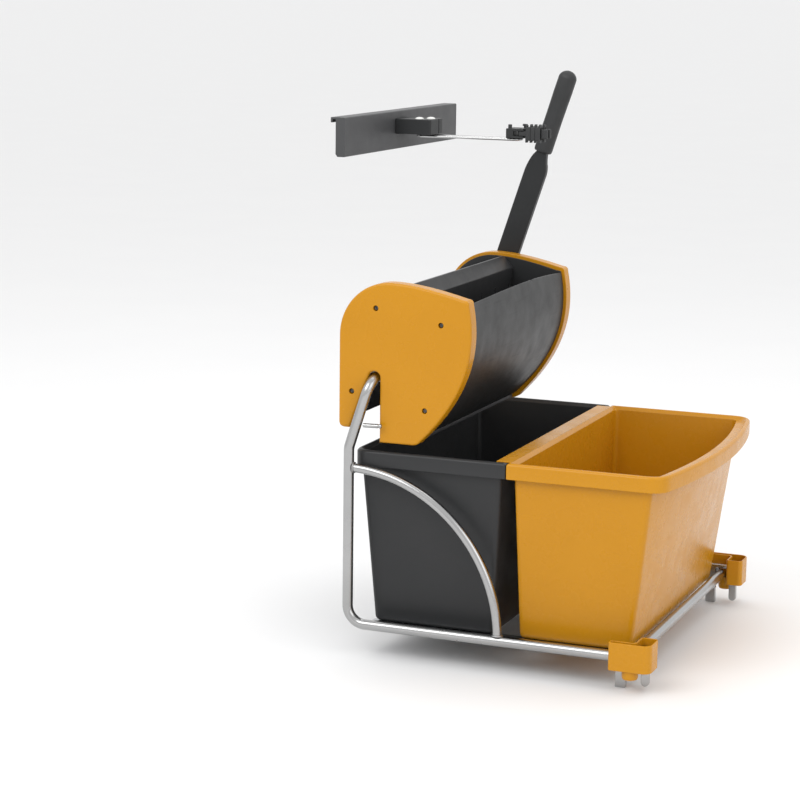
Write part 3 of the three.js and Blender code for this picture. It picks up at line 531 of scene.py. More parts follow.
# ---- frame ----
def bent_path(corners, radius, step=6):
    """Straight runs between corners, joined by round bends."""
    points = [Vector(corners[0])]
    for before, corner, after in zip(corners, corners[1:], corners[2:]):
        corner = Vector(corner)
        incoming = (corner - Vector(before)).normalized()
        outgoing = (Vector(after) - corner).normalized()
        angle = incoming.angle(outgoing)
        axis = incoming.cross(outgoing).normalized()
        start = corner - incoming * radius * math.tan(angle / 2)
        centre = start + axis.cross(incoming) * radius
        steps = max(2, math.ceil(math.degrees(angle) / step))
        for k in range(steps + 1):
            points.append(centre + Matrix.Rotation(angle * k / steps, 3, axis) @ (start - centre))
    points.append(Vector(corners[-1]))
    return points


def bead(middle, axis, radius):
    """A weld bead round a bar: a lumpy ring."""
    axis = Vector(axis).normalized()
    across = axis.orthogonal().normalized()
    up = axis.cross(across)
    steps = 40
    path = []
    for k in range(steps + 1):
        angle = 2 * math.pi * k / steps
        path.append(Vector(middle) + (across * math.cos(angle) + up * math.sin(angle)) * radius)
    radii = [BEAD * (0.85 + 0.3 * random.random()) for _ in path]
    return Solid().tube(path, radii, 10, 0.3)


def stitch(start, end):
    """A straight weld bead between two points."""
    start, end = Vector(start), Vector(end)
    steps = max(3, round((end - start).length / 2))
    path = [start.lerp(end, k / steps) for k in range(steps + 1)]
    radii = [STITCH * (0.8 + 0.4 * random.random()) for _ in path]
    return Solid().tube(path, radii, 10, 0.3)


def make_tubes():
    side_corners = [(front_tube.x0 - GAP, RAIL_Z), (0, RAIL_Z), (0, LEAN_START), (HOOK_X, HOOK_Z)]
    near = [(x, -RAIL_Y, z) for x, z in side_corners]
    far = [(x, RAIL_Y, z) for x, z in side_corners[::-1]]
    path = bent_path(near + far, BEND)
    make_piece("frame_tube", Solid().tube(path, TUBE, 40, 0.3), CHROME, "frame", ["main_tube"])
    ends = [(FRONT_X, front_tube.y0, RAIL_Z), (FRONT_X, front_tube.y1, RAIL_Z)]
    make_piece("front_bar", Solid().tube(ends, TUBE, 40, 1.2), CHROME, "frame", ["front_tube"])
    for name, side in SIDES.items():
        make_brace(name, side)
        make_ledge(name)
        make_stop_pin(name, side)
        make_fork(name)
    make_welds()


def make_brace(name, side):
    box = Box(f"brace_{name}")
    radius = (box.y1 - box.y0) / 2
    clear = math.asin((TUBE + GAP) / BRACE_REACH)
    angles = [clear + (math.pi / 2 - 2 * clear) * k / 40 for k in range(41)]
    path = [
        (BRACE_REACH * math.sin(a), side * RAIL_Y, RAIL_Z + BRACE_REACH * math.cos(a)) for a in angles
    ]
    brace = Solid().tube(path, radius, 36, 0.2)
    make_piece(f"brace_bar_{name}", brace, CHROME, "frame", [f"brace_{name}"])


def make_ledge(name):
    box = Box(f"ledge_{name}")
    corners = [(box.x0, box.y0, 4), (box.x1, box.y0, 1), (box.x1, box.y1, 1), (box.x0, box.y1, 4)]
    ledge = Solid().plate(rounded(corners), box.z0, box.z1, lying, 0.5, 0.5)
    make_piece(f"ledge_plate_{name}", ledge, STEEL, "frame", [f"ledge_{name}"])


def make_stop_pin(name, side):
    box = Box(f"stop_pin_{name}")
    radius = (box.z1 - box.z0) / 2
    z = box.z
    start = Vector((box.x0 + 0.4, side * RAIL_Y, z))
    end = Vector((box.x1 - 0.4, side * (RAIL_Y - TUBE / 2), z))
    along = (end - start).normalized()
    pin = Solid().tube([start, end - along * 5], radius - 0.3, 24, 0.5)
    groove = Solid().tube([end - along * 5.2, end - along * 3.8], radius - 1.1, 24, 0.2)
    tip = Solid().tube([end - along * 4, end], radius - 0.1, 24, 1.0)
    rod = merged(pin, groove, tip)
    make_piece(f"stop_rod_{name}", rod, CHROME, "frame", [f"stop_pin_{name}"])


def make_fork(name):
    box = Box(f"corner_fork_{name}")
    rear_width, front_width = 16.0, 12.0
    bridge = 6.0
    front_foot = -36.0
    foot_round = front_width / 2 - 0.05
    outline = rounded([
        (box.x0, box.z1, 2), (box.x0, box.z0, 1.5), (box.x0 + rear_width, box.z0, 1.5),
        (box.x0 + rear_width, box.z1 - bridge, 3), (box.x1 - front_width, box.z1 - bridge, 3),
        (box.x1 - front_width, front_foot, foot_round), (box.x1, front_foot, foot_round),
        (box.x1, box.z1, 4),
    ], 8)
    fork = Solid().plate(outline, box.y0, box.y1, standing, 1.2, 1.2)
    make_piece(f"corner_hook_{name}", fork, CHROME, "frame", [f"corner_fork_{name}"])


def make_welds():
    """Beads round the tube joints and short runs along the ledges."""
    brace = Box("brace_near")
    ledge = Box("ledge_near")
    brace_radius = (brace.y1 - brace.y0) / 2 + 0.1
    run = 18
    beads = []
    for side in SIDES.values():
        y = side * RAIL_Y
        beads.append(bead((FRONT_X - TUBE - 0.8, y, RAIL_Z), (1, 0, 0), TUBE + 0.2))
        beads.append(bead((TUBE + 0.6, y, RAIL_Z + BRACE_REACH), (1, 0, 0), brace_radius))
        beads.append(bead((BRACE_REACH, y, RAIL_Z + TUBE + 0.6), (0, 0, 1), brace_radius))
        edge = y - side * (TUBE + 0.8)
        top = ledge.z1 + 0.2
        for x in (24, 120, 216, 312, 400):
            beads.append(stitch((x, edge, top), (x + run, edge, top)))
    make_piece("weld_beads", merged(*beads), WELD, "frame")


def bumper_outline(side, box, distance):
    """The corner bumper's outline, inset by a distance."""
    rear = box.x0 + distance
    front = box.x1 - distance
    inner_x = front_tube.x1 + LIFT_GAP + distance
    inner_y = RAIL_Y + TUBE + LIFT_GAP + distance
    outer_y = inner_y + BUMPER_DEPTH - 2 * distance
    end = RAIL_Y - BUMPER_RETURN + distance
    corners = [
        (rear, side * inner_y, 2), (rear, side * outer_y, 4),
        (front, side * outer_y, 13 - distance), (front, side * end, 7 - distance),
        (inner_x, side * end, 4), (inner_x, side * inner_y, 6),
    ]
    return rounded(corners, 8)


def make_bumpers():
    wall = 2.5
    band_drop = 8.0
    for name, side in SIDES.items():
        box = Box(f"bumper_{name}")
        outer = bumper_outline(side, box, 0)
        inner = bumper_outline(side, box, wall)
        band = Solid().plate(outer, -band_drop, box.z1, lying, 0.9, 1.0, [inner])
        floor = Solid().plate(bumper_outline(side, box, wall - 0.3), -4, -1.5, lying, 0.2, 0.2)
        boss_y = side * (RAIL_Y + BUMPER_DEPTH / 2 + 1)
        boss = Solid().lathe(
            [(0, -22), (8, -22), (10.6, -21.2), (11.7, -19), (12, -16), (12, -0.8), (0, -0.8)],
            (FRONT_X + 2, boss_y, 0), (0, 0, 1), 40,
        )
        solid = merged(band, floor, boss)
        make_piece(f"corner_bumper_{name}", solid, YELLOW, "frame", [f"bumper_{name}"])


# ---- buckets ----
class Bucket:
    """The rings of a leaning bucket with a crested rim that turns down to a skirt."""

    def __init__(self, rear, front, front_rim, bow, drafts, corners):
        self.rear = rear
        self.front = front
        self.front_rim = front_rim
        self.bow = bow
        self.drafts = drafts
        self.corners = corners

    def ring(self, distance, height, in_body):
        rear_corner, front_corner = self.corners
        if in_body:
            rear_corner = front_corner = BODY_CORNER
        rear_corner = max(rear_corner - distance / 2, 1.5)
        front_corner = max(front_corner - distance / 2, 1.5)
        x0 = self.rear + distance
        x1 = self.front - distance - (self.front_rim - RIM if in_body else 0)
        half = RIM_HALF - distance
        outline = quadratic((x1 - front_corner, -half), (x1, -half), (x1, -half + front_corner), 8)
        steps = 36
        straight = 2 * (half - front_corner)
        outline += [(x1, -half + front_corner + straight * i / steps) for i in range(1, steps)]
        outline += quadratic((x1, half - front_corner), (x1, half), (x1 - front_corner, half), 8)
        outline += quadratic((x0 + rear_corner, half), (x0, half), (x0, half - rear_corner), 8)
        outline += quadratic((x0, -half + rear_corner), (x0, -half), (x0 + rear_corner, -half), 8)
        return [self.leant(x, y, height, in_body) for x, y in outline]

    def leant(self, x, y, z, in_body):
        down = (RIM_TOP - z) / (RIM_TOP - BUCKET_FLOOR) if in_body else 0
        share = (x - self.rear) / (self.front - self.rear)
        bulge = self.bow * (1 - (y / RIM_HALF) ** 2) if share > 0.5 else 0
        rear_draft, front_draft = self.drafts
        lean = down * (rear_draft * (1 - share) - front_draft * share)
        narrowing = 1 - SIDE_DRAFT / RIM_HALF * down
        return Vector((x + lean + bulge * (1 - down), y * narrowing, self.height(x, y, z)))

    def height(self, x, y, z):
        """Where a level of the rim ends up, which a bucket may lower."""
        return z

    def solid(self):
        inside_floor = BUCKET_FLOOR + BUCKET_WALL
        outside = RIM - BUCKET_WALL
        rings = [self.ring(RIM + 40, inside_floor, True)]
        rings += [self.ring(RIM + d, inside_floor + lift, True) for d, lift in quarter(INSIDE_ROUND)]
        brim = RIM_TOP - RIM_SLOPE
        round_top = inside_floor + INSIDE_ROUND
        for share in (0.3, 0.6, 0.85, 1):
            rings.append(self.ring(RIM, round_top + (brim - round_top) * share, True))
        skirt = RIM_TOP - RIM_DEPTH
        edge = 0.8
        crest = [(RIM - 0.6, brim + edge), (RIM - 4.2, RIM_TOP - 0.9), (RIM - 5, RIM_TOP - 0.2)]
        crest.append((RIM_SHOULDER + 0.4, RIM_TOP))
        shoulder = [(d, RIM_TOP - lift) for d, lift in quarter(RIM_SHOULDER)]
        hem = [(0, skirt + edge), (edge, skirt), (BUCKET_WALL - edge, skirt), (BUCKET_WALL, skirt + edge)]
        hem.append((BUCKET_WALL, brim - BUCKET_WALL))
        rings += [self.ring(d, z, False) for d, z in crest + shoulder + hem]
        rings.append(self.ring(outside, brim - BUCKET_WALL, True))
        for share in (0.85, 0.6, 0.3):
            rings.append(self.ring(outside, BUCKET_FLOOR + (brim - BUCKET_FLOOR) * share, True))
        for d, lift in reversed(quarter(OUTSIDE_ROUND)):
            rings.append(self.ring(outside + d, BUCKET_FLOOR + lift, True))
        rings.append(self.ring(RIM + 30, BUCKET_FLOOR, True))
        return Solid().loft(rings)


class GreyBucket(Bucket):
    """Its front rim sits lower between its corners, under the yellow bucket's lip."""

    def height(self, x, y, z):
        lowered_rim = x > self.front - RIM - 6 and abs(y) < RIM_HALF - RIM
        return min(z, LIP_UNDERSIDE - GAP) if lowered_rim else z


def quarter(radius, steps=6):
    """Insets and lifts round a quarter circle, from flat (inset by the radius) to upright."""
    angles = [math.pi / 2 * k / steps for k in range(steps + 1)]
    return [(radius * (1 - math.sin(a)), radius * (1 - math.cos(a))) for a in angles]


def make_buckets():
    grey = GreyBucket(GREY_REAR, GREY_FRONT, RIM, 0, (18, 18), (26, 3))
    make_piece("grey_bucket_shell", grey.solid(), GREY, "grey_bucket", ["grey_bucket"], 50)
    yellow = Bucket(YELLOW_REAR, YELLOW_FRONT, YELLOW_FRONT_RIM, YELLOW_BOW, (8, 33.5), (3, 26))
    solid = merged(yellow.solid(), bucket_lip())
    make_piece("yellow_bucket_shell", solid, YELLOW, "yellow_bucket", ["yellow_bucket"], 50)


def bucket_lip():
    """The yellow rim's lip, which lies on the grey bucket's front rim and ends in a short hem."""
    rear = Box("yellow_bucket").x0
    thickness = RIM_TOP - LIP_UNDERSIDE
    hem = LIP_UNDERSIDE - 4.5
    root = YELLOW_REAR + 5.5
    end = RIM_HALF - 15
    section = rounded([
        (rear, hem, 0.8), (rear, RIM_TOP, 1.8), (root, RIM_TOP, 0.2), (root, LIP_UNDERSIDE, 0.2),
        (rear + thickness, LIP_UNDERSIDE, 0.6), (rear + thickness, hem, 0.8),
    ], 5)
    return Solid().plate(section, -end, end, standing, 0.8, 0.8)


# ---- wringer ----
def end_outline(distance):
    """The wringer end's outline: a round crown, a sloping top, a bulging front and a hook slot."""
    d = distance
    slot = TUBE + LIFT_GAP + d
    points = [(slot, -98 + d), (62 - d, -98 + d)]
    points += quadratic((62 - d, -98 + d), (68 - d, -98 + d), (72 - d, -95 + d), 4)
    points += front_bulge(d, 24)
    points += quadratic((149 - d, 117), (149 - d, 125 - d), (141 - d, 125 - d), 6)
    points += quadratic((141 - d, 125 - d), (CROWN_X + 44, 144 - d), (CROWN_X, 144 - d), 16)
    points += arc(CROWN_X, CROWN_Z, CROWN_RADIUS - d, 90, 180, 24)
    points += quadratic((-57 + d, -69), (-57 + d, -79 + d), (-47, -79 + d), 6)
    points += rounded_corner((-47, -79 + d), (-slot - 30, -79 + d), (-slot, 0), 2.5)
    points += arc(0, 0, slot, 180, 0, 20)
    return [(HOOK_X + x, HOOK_Z + z) for x, z in points]


def front_bulge(distance, steps):
    """The wringer's front, from its foot to its brow, measured from the crossbar."""
    d = distance
    return bezier((72 - d, -95 + d), (149 - d, -20), (163 - d, 50), (149 - d, 117), steps)


def rounded_corner(before, corner, after, radius):
    """The arc that rounds one corner of an outline."""
    points = rounded([(*before, 0), (*corner, radius), (*after, 0)], 4)
    return points[1:-1]


SCREW_PLACES = [(2, 105), (106, 86), (-36, -23), (82, -44)]


def make_covers():
    screw_hole, head_radius, recess = 4.2, 3.1, 3.0
    for name, side in SIDES.items():
        box = Box(f"side_cover_{name}")
        face = box.y0 if side < 0 else box.y1
        holes = [circle(HOOK_X + x, HOOK_Z + z, screw_hole, 24) for x, z in SCREW_PLACES]
        if side > 0:
            holes.append(circle(*SHAFT, SHAFT_RADIUS + LIFT_GAP, 32))
        low_edge, high_edge = (4.0, 1.0) if side < 0 else (1.0, 4.0)
        cover = Solid().plate(
            end_outline(0), box.y0, box.y1, standing, low_edge, high_edge, holes, 6, 0.5,
        )
        make_piece(f"cover_{name}", cover, YELLOW, "wringer", [f"side_cover_{name}"])
        for i, (x, z) in enumerate(SCREW_PLACES, 1):
            node = f"cover_screw_{name}_{i}"
            head = screw_head((HOOK_X + x, face - side * recess, HOOK_Z + z), side, head_radius)
            make_piece(f"screw_{name}_{i}", head, SCREW, "wringer", [node])


def screw_head(middle, side, radius):
    """A pan head with a cross recess, facing away from the wringer."""
    x, y, z = middle
    arm, half = 1.7, 0.45
    cross = [(-arm, -half), (-half, -half), (-half, -arm), (half, -arm), (half, -half), (arm, -half)]
    cross += [(-u, -v) for u, v in cross]
    hole = [(x + u, z + v) for u, v in cross]
    top, seat = sorted((y, y - side * 1.4))
    edges = (0.7, 0.1) if side < 0 else (0.1, 0.7)
    head = Solid().plate(circle(x, z, radius, 28), top, seat, standing, edges[0], edges[1], [hole], 3)
    shank_low, shank_high = sorted((y - side * 1.3, y - side * 5.4))
    shank = Solid().plate(circle(x, z, radius - 0.2, 28), shank_low, shank_high, standing, 0.1, 0.1)
    return merged(head, shank)


def make_end_walls():
    for name in SIDES:
        box = Box(f"end_wall_{name}")
        holes = [circle(*SHAFT, 12.2, 32), circle(*HINGE, 4.3, 24)]
        wall = Solid().plate(end_outline(SHELL_INSET), box.y0, box.y1, standing, 0.5, 0.5, holes)
        make_piece(f"wringer_wall_{name}", wall, GREY, "wringer", [f"end_wall_{name}"])


def sheet_section(curve, thickness, lip):
    """A closed section that follows a curve and ends in a round bead."""
    inner = []
    for i, point in enumerate(curve):
        before, after = Vector(curve[max(i - 1, 0)]), Vector(curve[min(i + 1, len(curve) - 1)])
        along = (after - before).normalized()
        inner.append(tuple(Vector(point) + Vector((-along.y, along.x)) * thickness))
    end = Vector(curve[-1])
    along = (end - Vector(curve[-2])).normalized()
    half = Vector((-along.y, along.x)) * thickness / 2
    middle = end + half - along * lip
    angles = [math.radians(a) for a in range(15, 180, 15)]
    tip = [tuple(middle - half * math.cos(a) + along * lip * math.sin(a)) for a in angles]
    return curve[:-1] + tip + inner[-2::-1]


def make_shells():
    near = Box("front_shell")
    thickness, lip = 4, 2
    foot, belly, chest, brow = ((67, -90), (144, -20), (158, 50), (144, 122))
    curve = [(HOOK_X + x, HOOK_Z + z) for x, z in bezier(foot, belly, chest, brow, 40)]
    steps = 36
    places = [k / steps for k in range(steps + 1)] + [ARCH - 0.008, ARCH - 0.003, ARCH + 0.003]
    rings = []
    for along in sorted(places):
        y = near.y0 + (near.y1 - near.y0) * along
        section = sheet_section(shortened(curve, shell_drop(along)), thickness, lip)
        rings.append([standing(u, v, y) for u, v in section])
    make_piece("wringer_front", Solid().loft(rings), SHELL, "wringer", ["front_shell"], 34)
    crown = (HOOK_X + CROWN_X, HOOK_Z + CROWN_Z)
    rear_curve = arc(*crown, CROWN_RADIUS - SHELL_INSET, 140, 180, 18) + [(HOOK_X - 52, HOOK_Z - 69)]
    section = sheet_section(rear_curve[::-1], -thickness, lip)
    rear = Solid().loft([[standing(u, v, y) for u, v in section] for y in (near.y0, near.y1)])
    make_piece("wringer_rear", rear, SHELL, "wringer", ["rear_shell"], 34)


def shell_drop(along):
    """How far the front shell's arched edge is below its crest, with a small nick at the crest."""
    share = along / ARCH if along < ARCH else (1 - along) / (1 - ARCH)
    nick = 1.6 if abs(along - ARCH) < 0.005 else 0
    return ARCH_RISE * (1 - math.sin(share * math.pi / 2)) + nick


def shortened(curve, length):
    """The curve without a length of its last stretch."""
    end = Vector(curve[-1])
    along = (end - Vector(curve[-2])).normalized()
    return curve[:-1] + [tuple(end - along * length)]


def make_drain_grid():
    box = Box("drain_grid")
    slots, half, margin = 12, 4.5, 8
    pitch = (box.y1 - box.y0) / slots
    x0, x1 = box.x0 + margin, box.x1 - margin
    holes = []
    for i in range(slots):
        y = box.y0 + pitch * (i + 0.5)
        ends = [(x0, y - half), (x1, y - half), (x1, y + half), (x0, y + half)]
        holes.append(rounded([(*end, half - 0.1) for end in ends]))
    corners = [(box.x0, box.y0), (box.x1, box.y0), (box.x1, box.y1), (box.x0, box.y1)]
    grid = Solid().plate(corners, box.z0, box.z1, lying, 0.6, 0.8, holes)
    make_piece("drain_floor", grid, GREY, "wringer", ["drain_grid"])


def make_press_plate():
    box = Box("press_plate")
    crest = box.z1 - HOOK_Z
    corners = [
        (42, -60, 0), (54, crest - 20, 3), (42, crest - 5, 1), (42, crest, 1), (46, crest, 1),
        (62, crest - 18, 4), (48, -58, 0),
    ]
    profile = rounded([(HOOK_X + x, HOOK_Z + z, radius) for x, z, radius in corners])
    sheet = Solid().plate(profile, box.y0, box.y1, standing, 0.8, 0.8)
    hole = circle(*HINGE, 4.4, 24)
    barrel = Solid().plate(circle(*HINGE, 9, 40), box.y0, box.y1, standing, 1, 1, [hole])
    web = [(50.6, -20), (58.4, 96), (61.2, 96), (54.4, -20)]
    web = [(HOOK_X + x, HOOK_Z + z) for x, z in web]
    rib_count, margin, half = 7, 14, 1.5
    pitch = (box.y1 - box.y0 - 2 * margin) / (rib_count - 1)
    ribs = []
    for k in range(rib_count):
        y = box.y0 + margin + pitch * k
        ribs.append(Solid().plate(web, y - half, y + half, standing, 0.6, 0.6))
    board = merged(sheet, barrel, *ribs)
    make_piece("press_board", board, GREY, "press_plate", ["press_plate"])


# ---- lever ----
def make_lever():
    shaft = Box("lever_shaft")
    ends = [(SHAFT[0], shaft.y0, SHAFT[1]), (SHAFT[0], shaft.y1, SHAFT[1])]
    bar = Solid().tube(ends, SHAFT_RADIUS, 40, 1.0)
    make_piece("shaft_bar", bar, STEEL, "lever", ["lever_shaft"])
    make_blade()
    make_grip()
    make_lever_screw()
    for name in SIDES:
        make_cam(name)
    make_spring()


def make_blade():
    box = Box("lever_blade")
    half, hub, neck, length = 18.5, 21.5, 9.0, BLADE_LENGTH
    outline = arc(0, 0, hub, 180, 360, 24)
    outline += [(half + 2, 12), (half, 30), (half, length - 34)]
    outline += quadratic((half, length - 34), (half - 1, length - 22), (half - 5, length - 16), 5)
    outline += [(neck + 2, length - 8), (neck, length), (neck, length + 60)]
    outline += [(-neck, length + 60), (-neck, length), (-neck - 4, length - 8)]
    outline += quadratic((-neck - 4, length - 8), (-half, length - 24), (-half, length - 40), 6)
    outline += [(-half, 30), (-half - 2, 12)]
    blade = Solid().plate(outline, box.y0, box.y1, on_lever, 2.0, 2.0, [circle(0, 0, 8.3, 32)])
    low, high, side = 40, length - 52, 11.5
    flat = rounded([(-side, low, 4), (side, low, 4), (side, high, 4), (-side, high, 4)])
    rib = Solid().plate(flat, box.y1 - 0.4, box.y1, on_lever, 0.1, 0.1)
    make_piece("lever_arm", merged(blade, rib), BLACK, "lever", ["lever_blade"])


def make_grip():
    """A grip with rounded flats, swelling a little in the hand and closing in a dome."""
    box = Box("lever_grip")
    start, length = BLADE_LENGTH + GAP, 140.0
    half_width, half_depth = 15.0, 12.0
    rings = []
    count = 48
    stations = [(0, 0.80), (0.006, 0.93), (0.02, 0.985), (0.05, 1.0)]
    stations += [(0.2, 0.985), (0.4, 0.965), (0.6, 0.98), (0.75, 1.0)]
    dome = 0.9
    for k in range(1, 13):
        angle = math.pi / 2 * k / 12
        stations.append((dome + (1 - dome) * math.sin(angle), max(math.cos(angle), 0.02)))
    for along, share in stations:
        ring = []
        for j in range(count):
            angle = 2 * math.pi * j / count
            u = half_width * share * squared(math.cos(angle))
            w = half_depth * share * squared(math.sin(angle))
            ring.append(on_lever(u, start + length * along, box.y + w))
        rings.append(ring)
    make_piece("grip", Solid().loft(rings), RUBBER, "lever", ["lever_grip"], 60)


def squared(value):
    """Pushes a sine or cosine towards a rounded rectangle."""
    return math.copysign(abs(value) ** 0.8, value)


def make_lever_screw():
    box = Box("lever_screw")
    profile = [(0, 0), (8.6, 0), (9, 0.3), (9, 1.3), (8.6, 1.6), (0, 1.6)]
    washer = Solid().lathe(profile, (SHAFT[0], box.y0, SHAFT[1]), (0, 1, 0), 40)
    hexagon = circle(0, 0, 5.9, 6)
    head = Solid().plate(hexagon, box.y0 + 1.5, box.y1, on_lever, 0.1, 0.7)
    make_piece("lever_bolt", merged(washer, head), STEEL, "lever", ["lever_screw"])


def make_cam(name):
    box = Box(f"press_cam_{name}")
    lean = math.radians(30)
    reach, tip, hub = 68.0, 6.0, 13.0
    tip_x, tip_z = SHAFT[0] + reach * math.sin(lean), SHAFT[1] + reach * math.cos(lean)
    turn = math.degrees(lean)
    outline = arc(*SHAFT, hub, 180 - turn, 360 - turn, 20) + arc(tip_x, tip_z, tip, -turn, 180 - turn, 14)
    cam = Solid().plate(outline, box.y0, box.y1, standing, 0.8, 0.8, [circle(*SHAFT, 8.3, 32)])
    make_piece(f"cam_{name}", cam, WHITE, "lever", [f"press_cam_{name}"])


def make_spring():
    box = Box("return_spring")
    wire, turns, per_turn = 1.2, 4, 28
    radius = (box.x1 - box.x0) / 2 - wire
    low = box.y0 + wire
    pitch = (box.y1 - box.y0 - 2 * wire) / turns
    path = []
    for i in range(turns * per_turn + 1):
        angle = 2 * math.pi * i / per_turn
        x, z = SHAFT[0] + radius * math.cos(angle), SHAFT[1] + radius * math.sin(angle)
        path.append((x, low + pitch * i / per_turn, z))
    spring = Solid().tube(path, wire, 12, 0.3)
    make_piece("coil_spring", spring, STEEL, "wringer", ["return_spring"])


def make_pins():
    """Bushes and hinge pins keep their CAD shape, with softened edges and their own materials."""
    for name in SIDES:
        for node, material in ((f"shaft_bush_{name}", WHITE), (f"hinge_pin_{name}", STEEL)):
            soften(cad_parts[node], material)


def soften(node, material):
    node.data.materials.clear()
    node.data.materials.append(material)
    node.data.shade_smooth()
    weld = node.modifiers.new("weld", "WELD")
    weld.merge_threshold = 1e-5
    bevel = node.modifiers.new("bevel", "BEVEL")
    bevel.width = 0.4 * MM
    bevel.segments = 2
    bevel.limit_method = "ANGLE"
    bevel.angle_limit = math.radians(40)
    bevel.harden_normals = True


# ---- holder ----
def make_panel():
    box = Box("holder_panel")
    face, lip, thick = box.x1, 8.0, 15.0
    back = face - thick
    profile = rounded([
        (face, box.z0, 1.2), (face, box.z1, 2), (box.x0, box.z1, 1), (box.x0, box.z1 - lip, 0.8),
        (box.x0 + 3, box.z1 - lip, 0.8), (box.x0 + 3, box.z1 - 3, 0.8), (back, box.z1 - 3, 0.8),
        (back, box.z0 + 4, 1), (back + 3, box.z0, 1),
    ])
    panel = Solid().plate(profile, box.y0, box.y1, standing, 1.0, 1.0)
    make_piece("panel", panel, PANEL, "frame", ["holder_panel"])


def make_base():
    box = Box("holder_base")
    groove_low = box.y0 + 34
    groove_high = groove_low + 2
    outline = rounded([
        (box.x0, box.y0, 0.5), (box.x1, box.y0, 2.5), (box.x1, groove_low, 1),
        (box.x0 + 12, groove_low, 0.5), (box.x0 + 12, groove_high, 0.5), (box.x1, groove_high, 1),
        (box.x1, box.y1, 2.5), (box.x0, box.y1, 0.5),
    ])
    body = Solid().plate(outline, box.z0, box.z1, lying, 0.8, 1.2)
    floor = straight_block(
        box.x0 + 1, box.x1 - 1.5, box.y0 + 1, box.y1 - 1.5, box.z0 + 0.3, box.z0 + 3, 0.4,
    )
    make_piece("holder_block", merged(body, floor), BLACK, "frame", ["holder_base"])
    for i in (1, 2):
        button = Box(f"holder_button_{i}")
        radius = (button.x1 - button.x0) / 2
        rise = button.z1 - button.z0
        middle = (button.x, button.y, button.z0)
        angles = [math.radians(a) for a in range(10, 91, 10)]
        profile = [(0, 0), (radius, 0)]
        profile += [(radius * math.cos(a), rise * math.sin(a)) for a in angles]
        dome = Solid().lathe(profile, middle, (0, 0, 1), 40)
        make_piece(f"button_{i}", dome, WHITE, "frame", [f"holder_button_{i}"])


def make_arm():
    box = Box("holder_arm")
    base = Box("holder_base")
    wire = 2.0
    pivot_y = box.y
    pivot_x = base.x1 - PIVOT_BACK
    z = base.z0 - wire - 1
    near, far = box.y0 + wire, box.y1 - wire
    end = box.x1 - wire
    path = bent_path([
        (pivot_x, far, z), (end, far, z), (end, near, z), (pivot_x, near, z), (pivot_x, pivot_y - 0.5, z),
    ], (far - near) / 2 - 1, 10)
    loop = Solid().tube(path, wire, 20, 0.4)
    profile = [(0, -3), (4.4, -3), (5, -2.4), (5, 8.4), (4.4, 9), (0, 9)]
    post = Solid().lathe(profile, (pivot_x, pivot_y, base.z0), (0, 0, 1), 32)
    bridge = straight_block(pivot_x - 2, pivot_x + 2, near, far, z - 1.4, z + 1.4, 0.4, 0.5)
    make_piece("wire_arm", merged(loop, post, bridge), CHROME, "holder_arm", ["holder_arm"])


def make_clip():
    box = Box("clip_body")
    near_pin = Box("clip_pin_near")
    mouth = box.x1 - 16
    top = box.z0 + CLIP_HEIGHT
    back = straight_block(box.x0, mouth, box.y0, box.y1, box.z0, top, 0.9)
    jaws = [
        straight_block(mouth - 3, box.x1, box.y0, box.y1, low, low + CLIP_WALL, 0.7)
        for low in (box.z0, top - CLIP_WALL)
    ]
    peg = stud(box.x0 + 5, near_pin.y, top - 1, box.z1, 3)
    make_piece("clip_block", merged(back, *jaws, peg), BLACK, "holder_arm", ["clip_body"])
    for name, side in SIDES.items():
        make_jaw_pin(name, top)
        make_jaw(name, side)


def make_jaw_pin(name, clip_top):
    """The far pin ends in a knob, the near one almost flush."""
    box = Box(f"clip_pin_{name}")
    x, y = box.x, box.y
    has_knob = box.z1 > clip_top + 2
    pin = stud(x, y, box.z0, box.z1 - 3 if has_knob else box.z1, 2.2)
    whole = merged(pin, stud(x, y, box.z1 - 3.2, box.z1, 4)) if has_knob else pin
    make_piece(f"jaw_pin_{name}", whole, BLACK, "holder_arm", [f"clip_pin_{name}"])


def make_jaw(name, side):
    """A finger in the clip's mouth, a ribbed pad ahead of it and a stub at its end."""
    node = f"clip_jaw_{name}"
    box = Box(node)
    pin = Box(f"clip_pin_{name}")
    pin_x, pin_y = pin.x, pin.y
    middle = box.z
    front, back = Box("clip_body").x1 + 3, box.x1 - 10
    inner = pin_y - side * 4
    low, high = sorted((inner, inner + side * 8))
    stub_low, stub_high = sorted((inner - side * 2, inner + side * 4))
    finger_half = CLIP_HEIGHT / 2 - CLIP_WALL - GAP
    knuckle = Solid().plate(
        circle(pin_x, pin_y, 4, 28), middle - finger_half, middle + finger_half, lying, 0.5, 0.5,
        [circle(pin_x, pin_y, 2.6, 20)],
    )
    parts = [
        straight_block(pin_x, front + 1, low, high, middle - finger_half, middle + finger_half, 0.6, 1),
        knuckle,
        straight_block(front, back, low, high, middle - 10.5, middle + 10.5, 1.2, 2),
        straight_block(back - 1, box.x1, stub_low, stub_high, middle - 7, middle + 7, 1, 2),
    ]
    ribs, rib_width = 4, 3
    for i in range(ribs):
        x = front + (back - front - rib_width) * i / (ribs - 1)
        parts.append(straight_block(x, x + rib_width, low, high, box.z0, box.z1, 0.8, 1.2))
    make_piece(f"jaw_{name}", merged(*parts), RUBBER, node, [node])


def stud(x, y, low, high, radius):
    """An upright pin with a chamfered top."""
    rise = high - low
    profile = [(0, 0), (radius, 0.1), (radius, rise - 0.6), (radius - 0.5, rise), (0, rise)]
    return Solid().lathe(profile, (x, y, low), (0, 0, 1), 28)


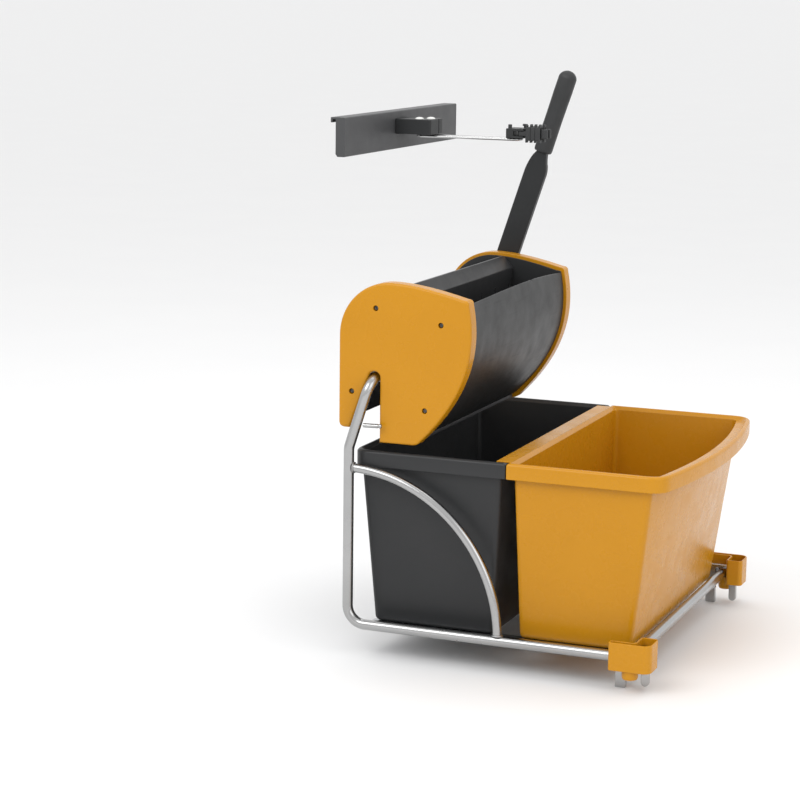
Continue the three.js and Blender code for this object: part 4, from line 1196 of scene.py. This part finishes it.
# ---- surroundings ----
def area_light(name, place, target, size, power):
    data = bpy.data.lights.new(name, "AREA")
    data.shape = "RECTANGLE"
    data.size, data.size_y = size
    data.energy = power
    light = bpy.data.objects.new(name, data)
    light.location = place
    light.rotation_mode = "QUATERNION"
    light.rotation_quaternion = (Vector(target) - Vector(place)).to_track_quat("-Z", "Y")
    bpy.context.scene.collection.objects.link(light)


def make_floor():
    lowest = cad_box[0].z
    size = 150.0
    mesh = bpy.data.meshes.new("floor")
    corners = [(x * size, y * size, lowest) for x, y in ((-1, -1), (1, -1), (1, 1), (-1, 1))]
    mesh.from_pydata(corners, [], [(0, 1, 2, 3)])
    floor = bpy.data.objects.new("floor", mesh)
    bpy.context.scene.collection.objects.link(floor)
    shader = Shader("floor_paint", 0.7)
    pale = shader.mixed(shader.noise(3, 3), (0.86, 0.86, 0.86), (0.84, 0.84, 0.845))
    matt = shader.ranged(shader.noise(8, 3), 0, 1, 0.62, 0.78)
    mesh.materials.append(shader.finish(pale, matt, shader.bumped(shader.noise(300, 2), 0.01)))


def make_light():
    world = bpy.data.worlds.new("studio")
    world.use_nodes = True
    background = world.node_tree.nodes["Background"]
    background.inputs["Color"].default_value = (1, 1, 1, 1)
    background.inputs["Strength"].default_value = 1.0
    bpy.context.scene.world = world
    target = (0.2, 0.0, 0.35)
    area_light("key", (-0.9, -2.6, 2.6), target, (2.2, 1.6), 40)
    area_light("fill", (2.8, -1.6, 1.6), target, (2.0, 2.0), 16)
    area_light("top", (0.3, 0.6, 3.0), target, (2.4, 2.4), 20)


def make_camera():
    """The photograph's viewpoint."""
    azimuth, elevation, roll = math.radians(22.07), math.radians(10.41), math.radians(0.721)
    back = Vector((
        math.sin(azimuth) * math.cos(elevation),
        -math.cos(azimuth) * math.cos(elevation),
        math.sin(elevation),
    ))
    right = (-back).cross(Vector((0, 0, 1))).normalized()
    up = right.cross(-back)
    tilted_right = right * math.cos(roll) + up * math.sin(roll)
    tilted_up = up * math.cos(roll) - right * math.sin(roll)
    turn = Matrix((tilted_right, tilted_up, back)).transposed()
    data = bpy.data.cameras.new("camera")
    data.sensor_width = 36
    data.lens = 103.3
    data.clip_end = 400
    camera = bpy.data.objects.new("camera", data)
    camera.matrix_world = Matrix.Translation((1.3406, -3.3768, 0.9747)) @ turn.to_4x4()
    bpy.context.scene.collection.objects.link(camera)
    bpy.context.scene.camera = camera
    bpy.context.scene.view_settings.view_transform = "Standard"


make_camera()
make_light()
make_floor()
make_tubes()
make_bumpers()
make_buckets()
make_covers()
make_end_walls()
make_shells()
make_drain_grid()
make_press_plate()
make_lever()
make_pins()
make_panel()
make_base()
make_arm()
make_clip()
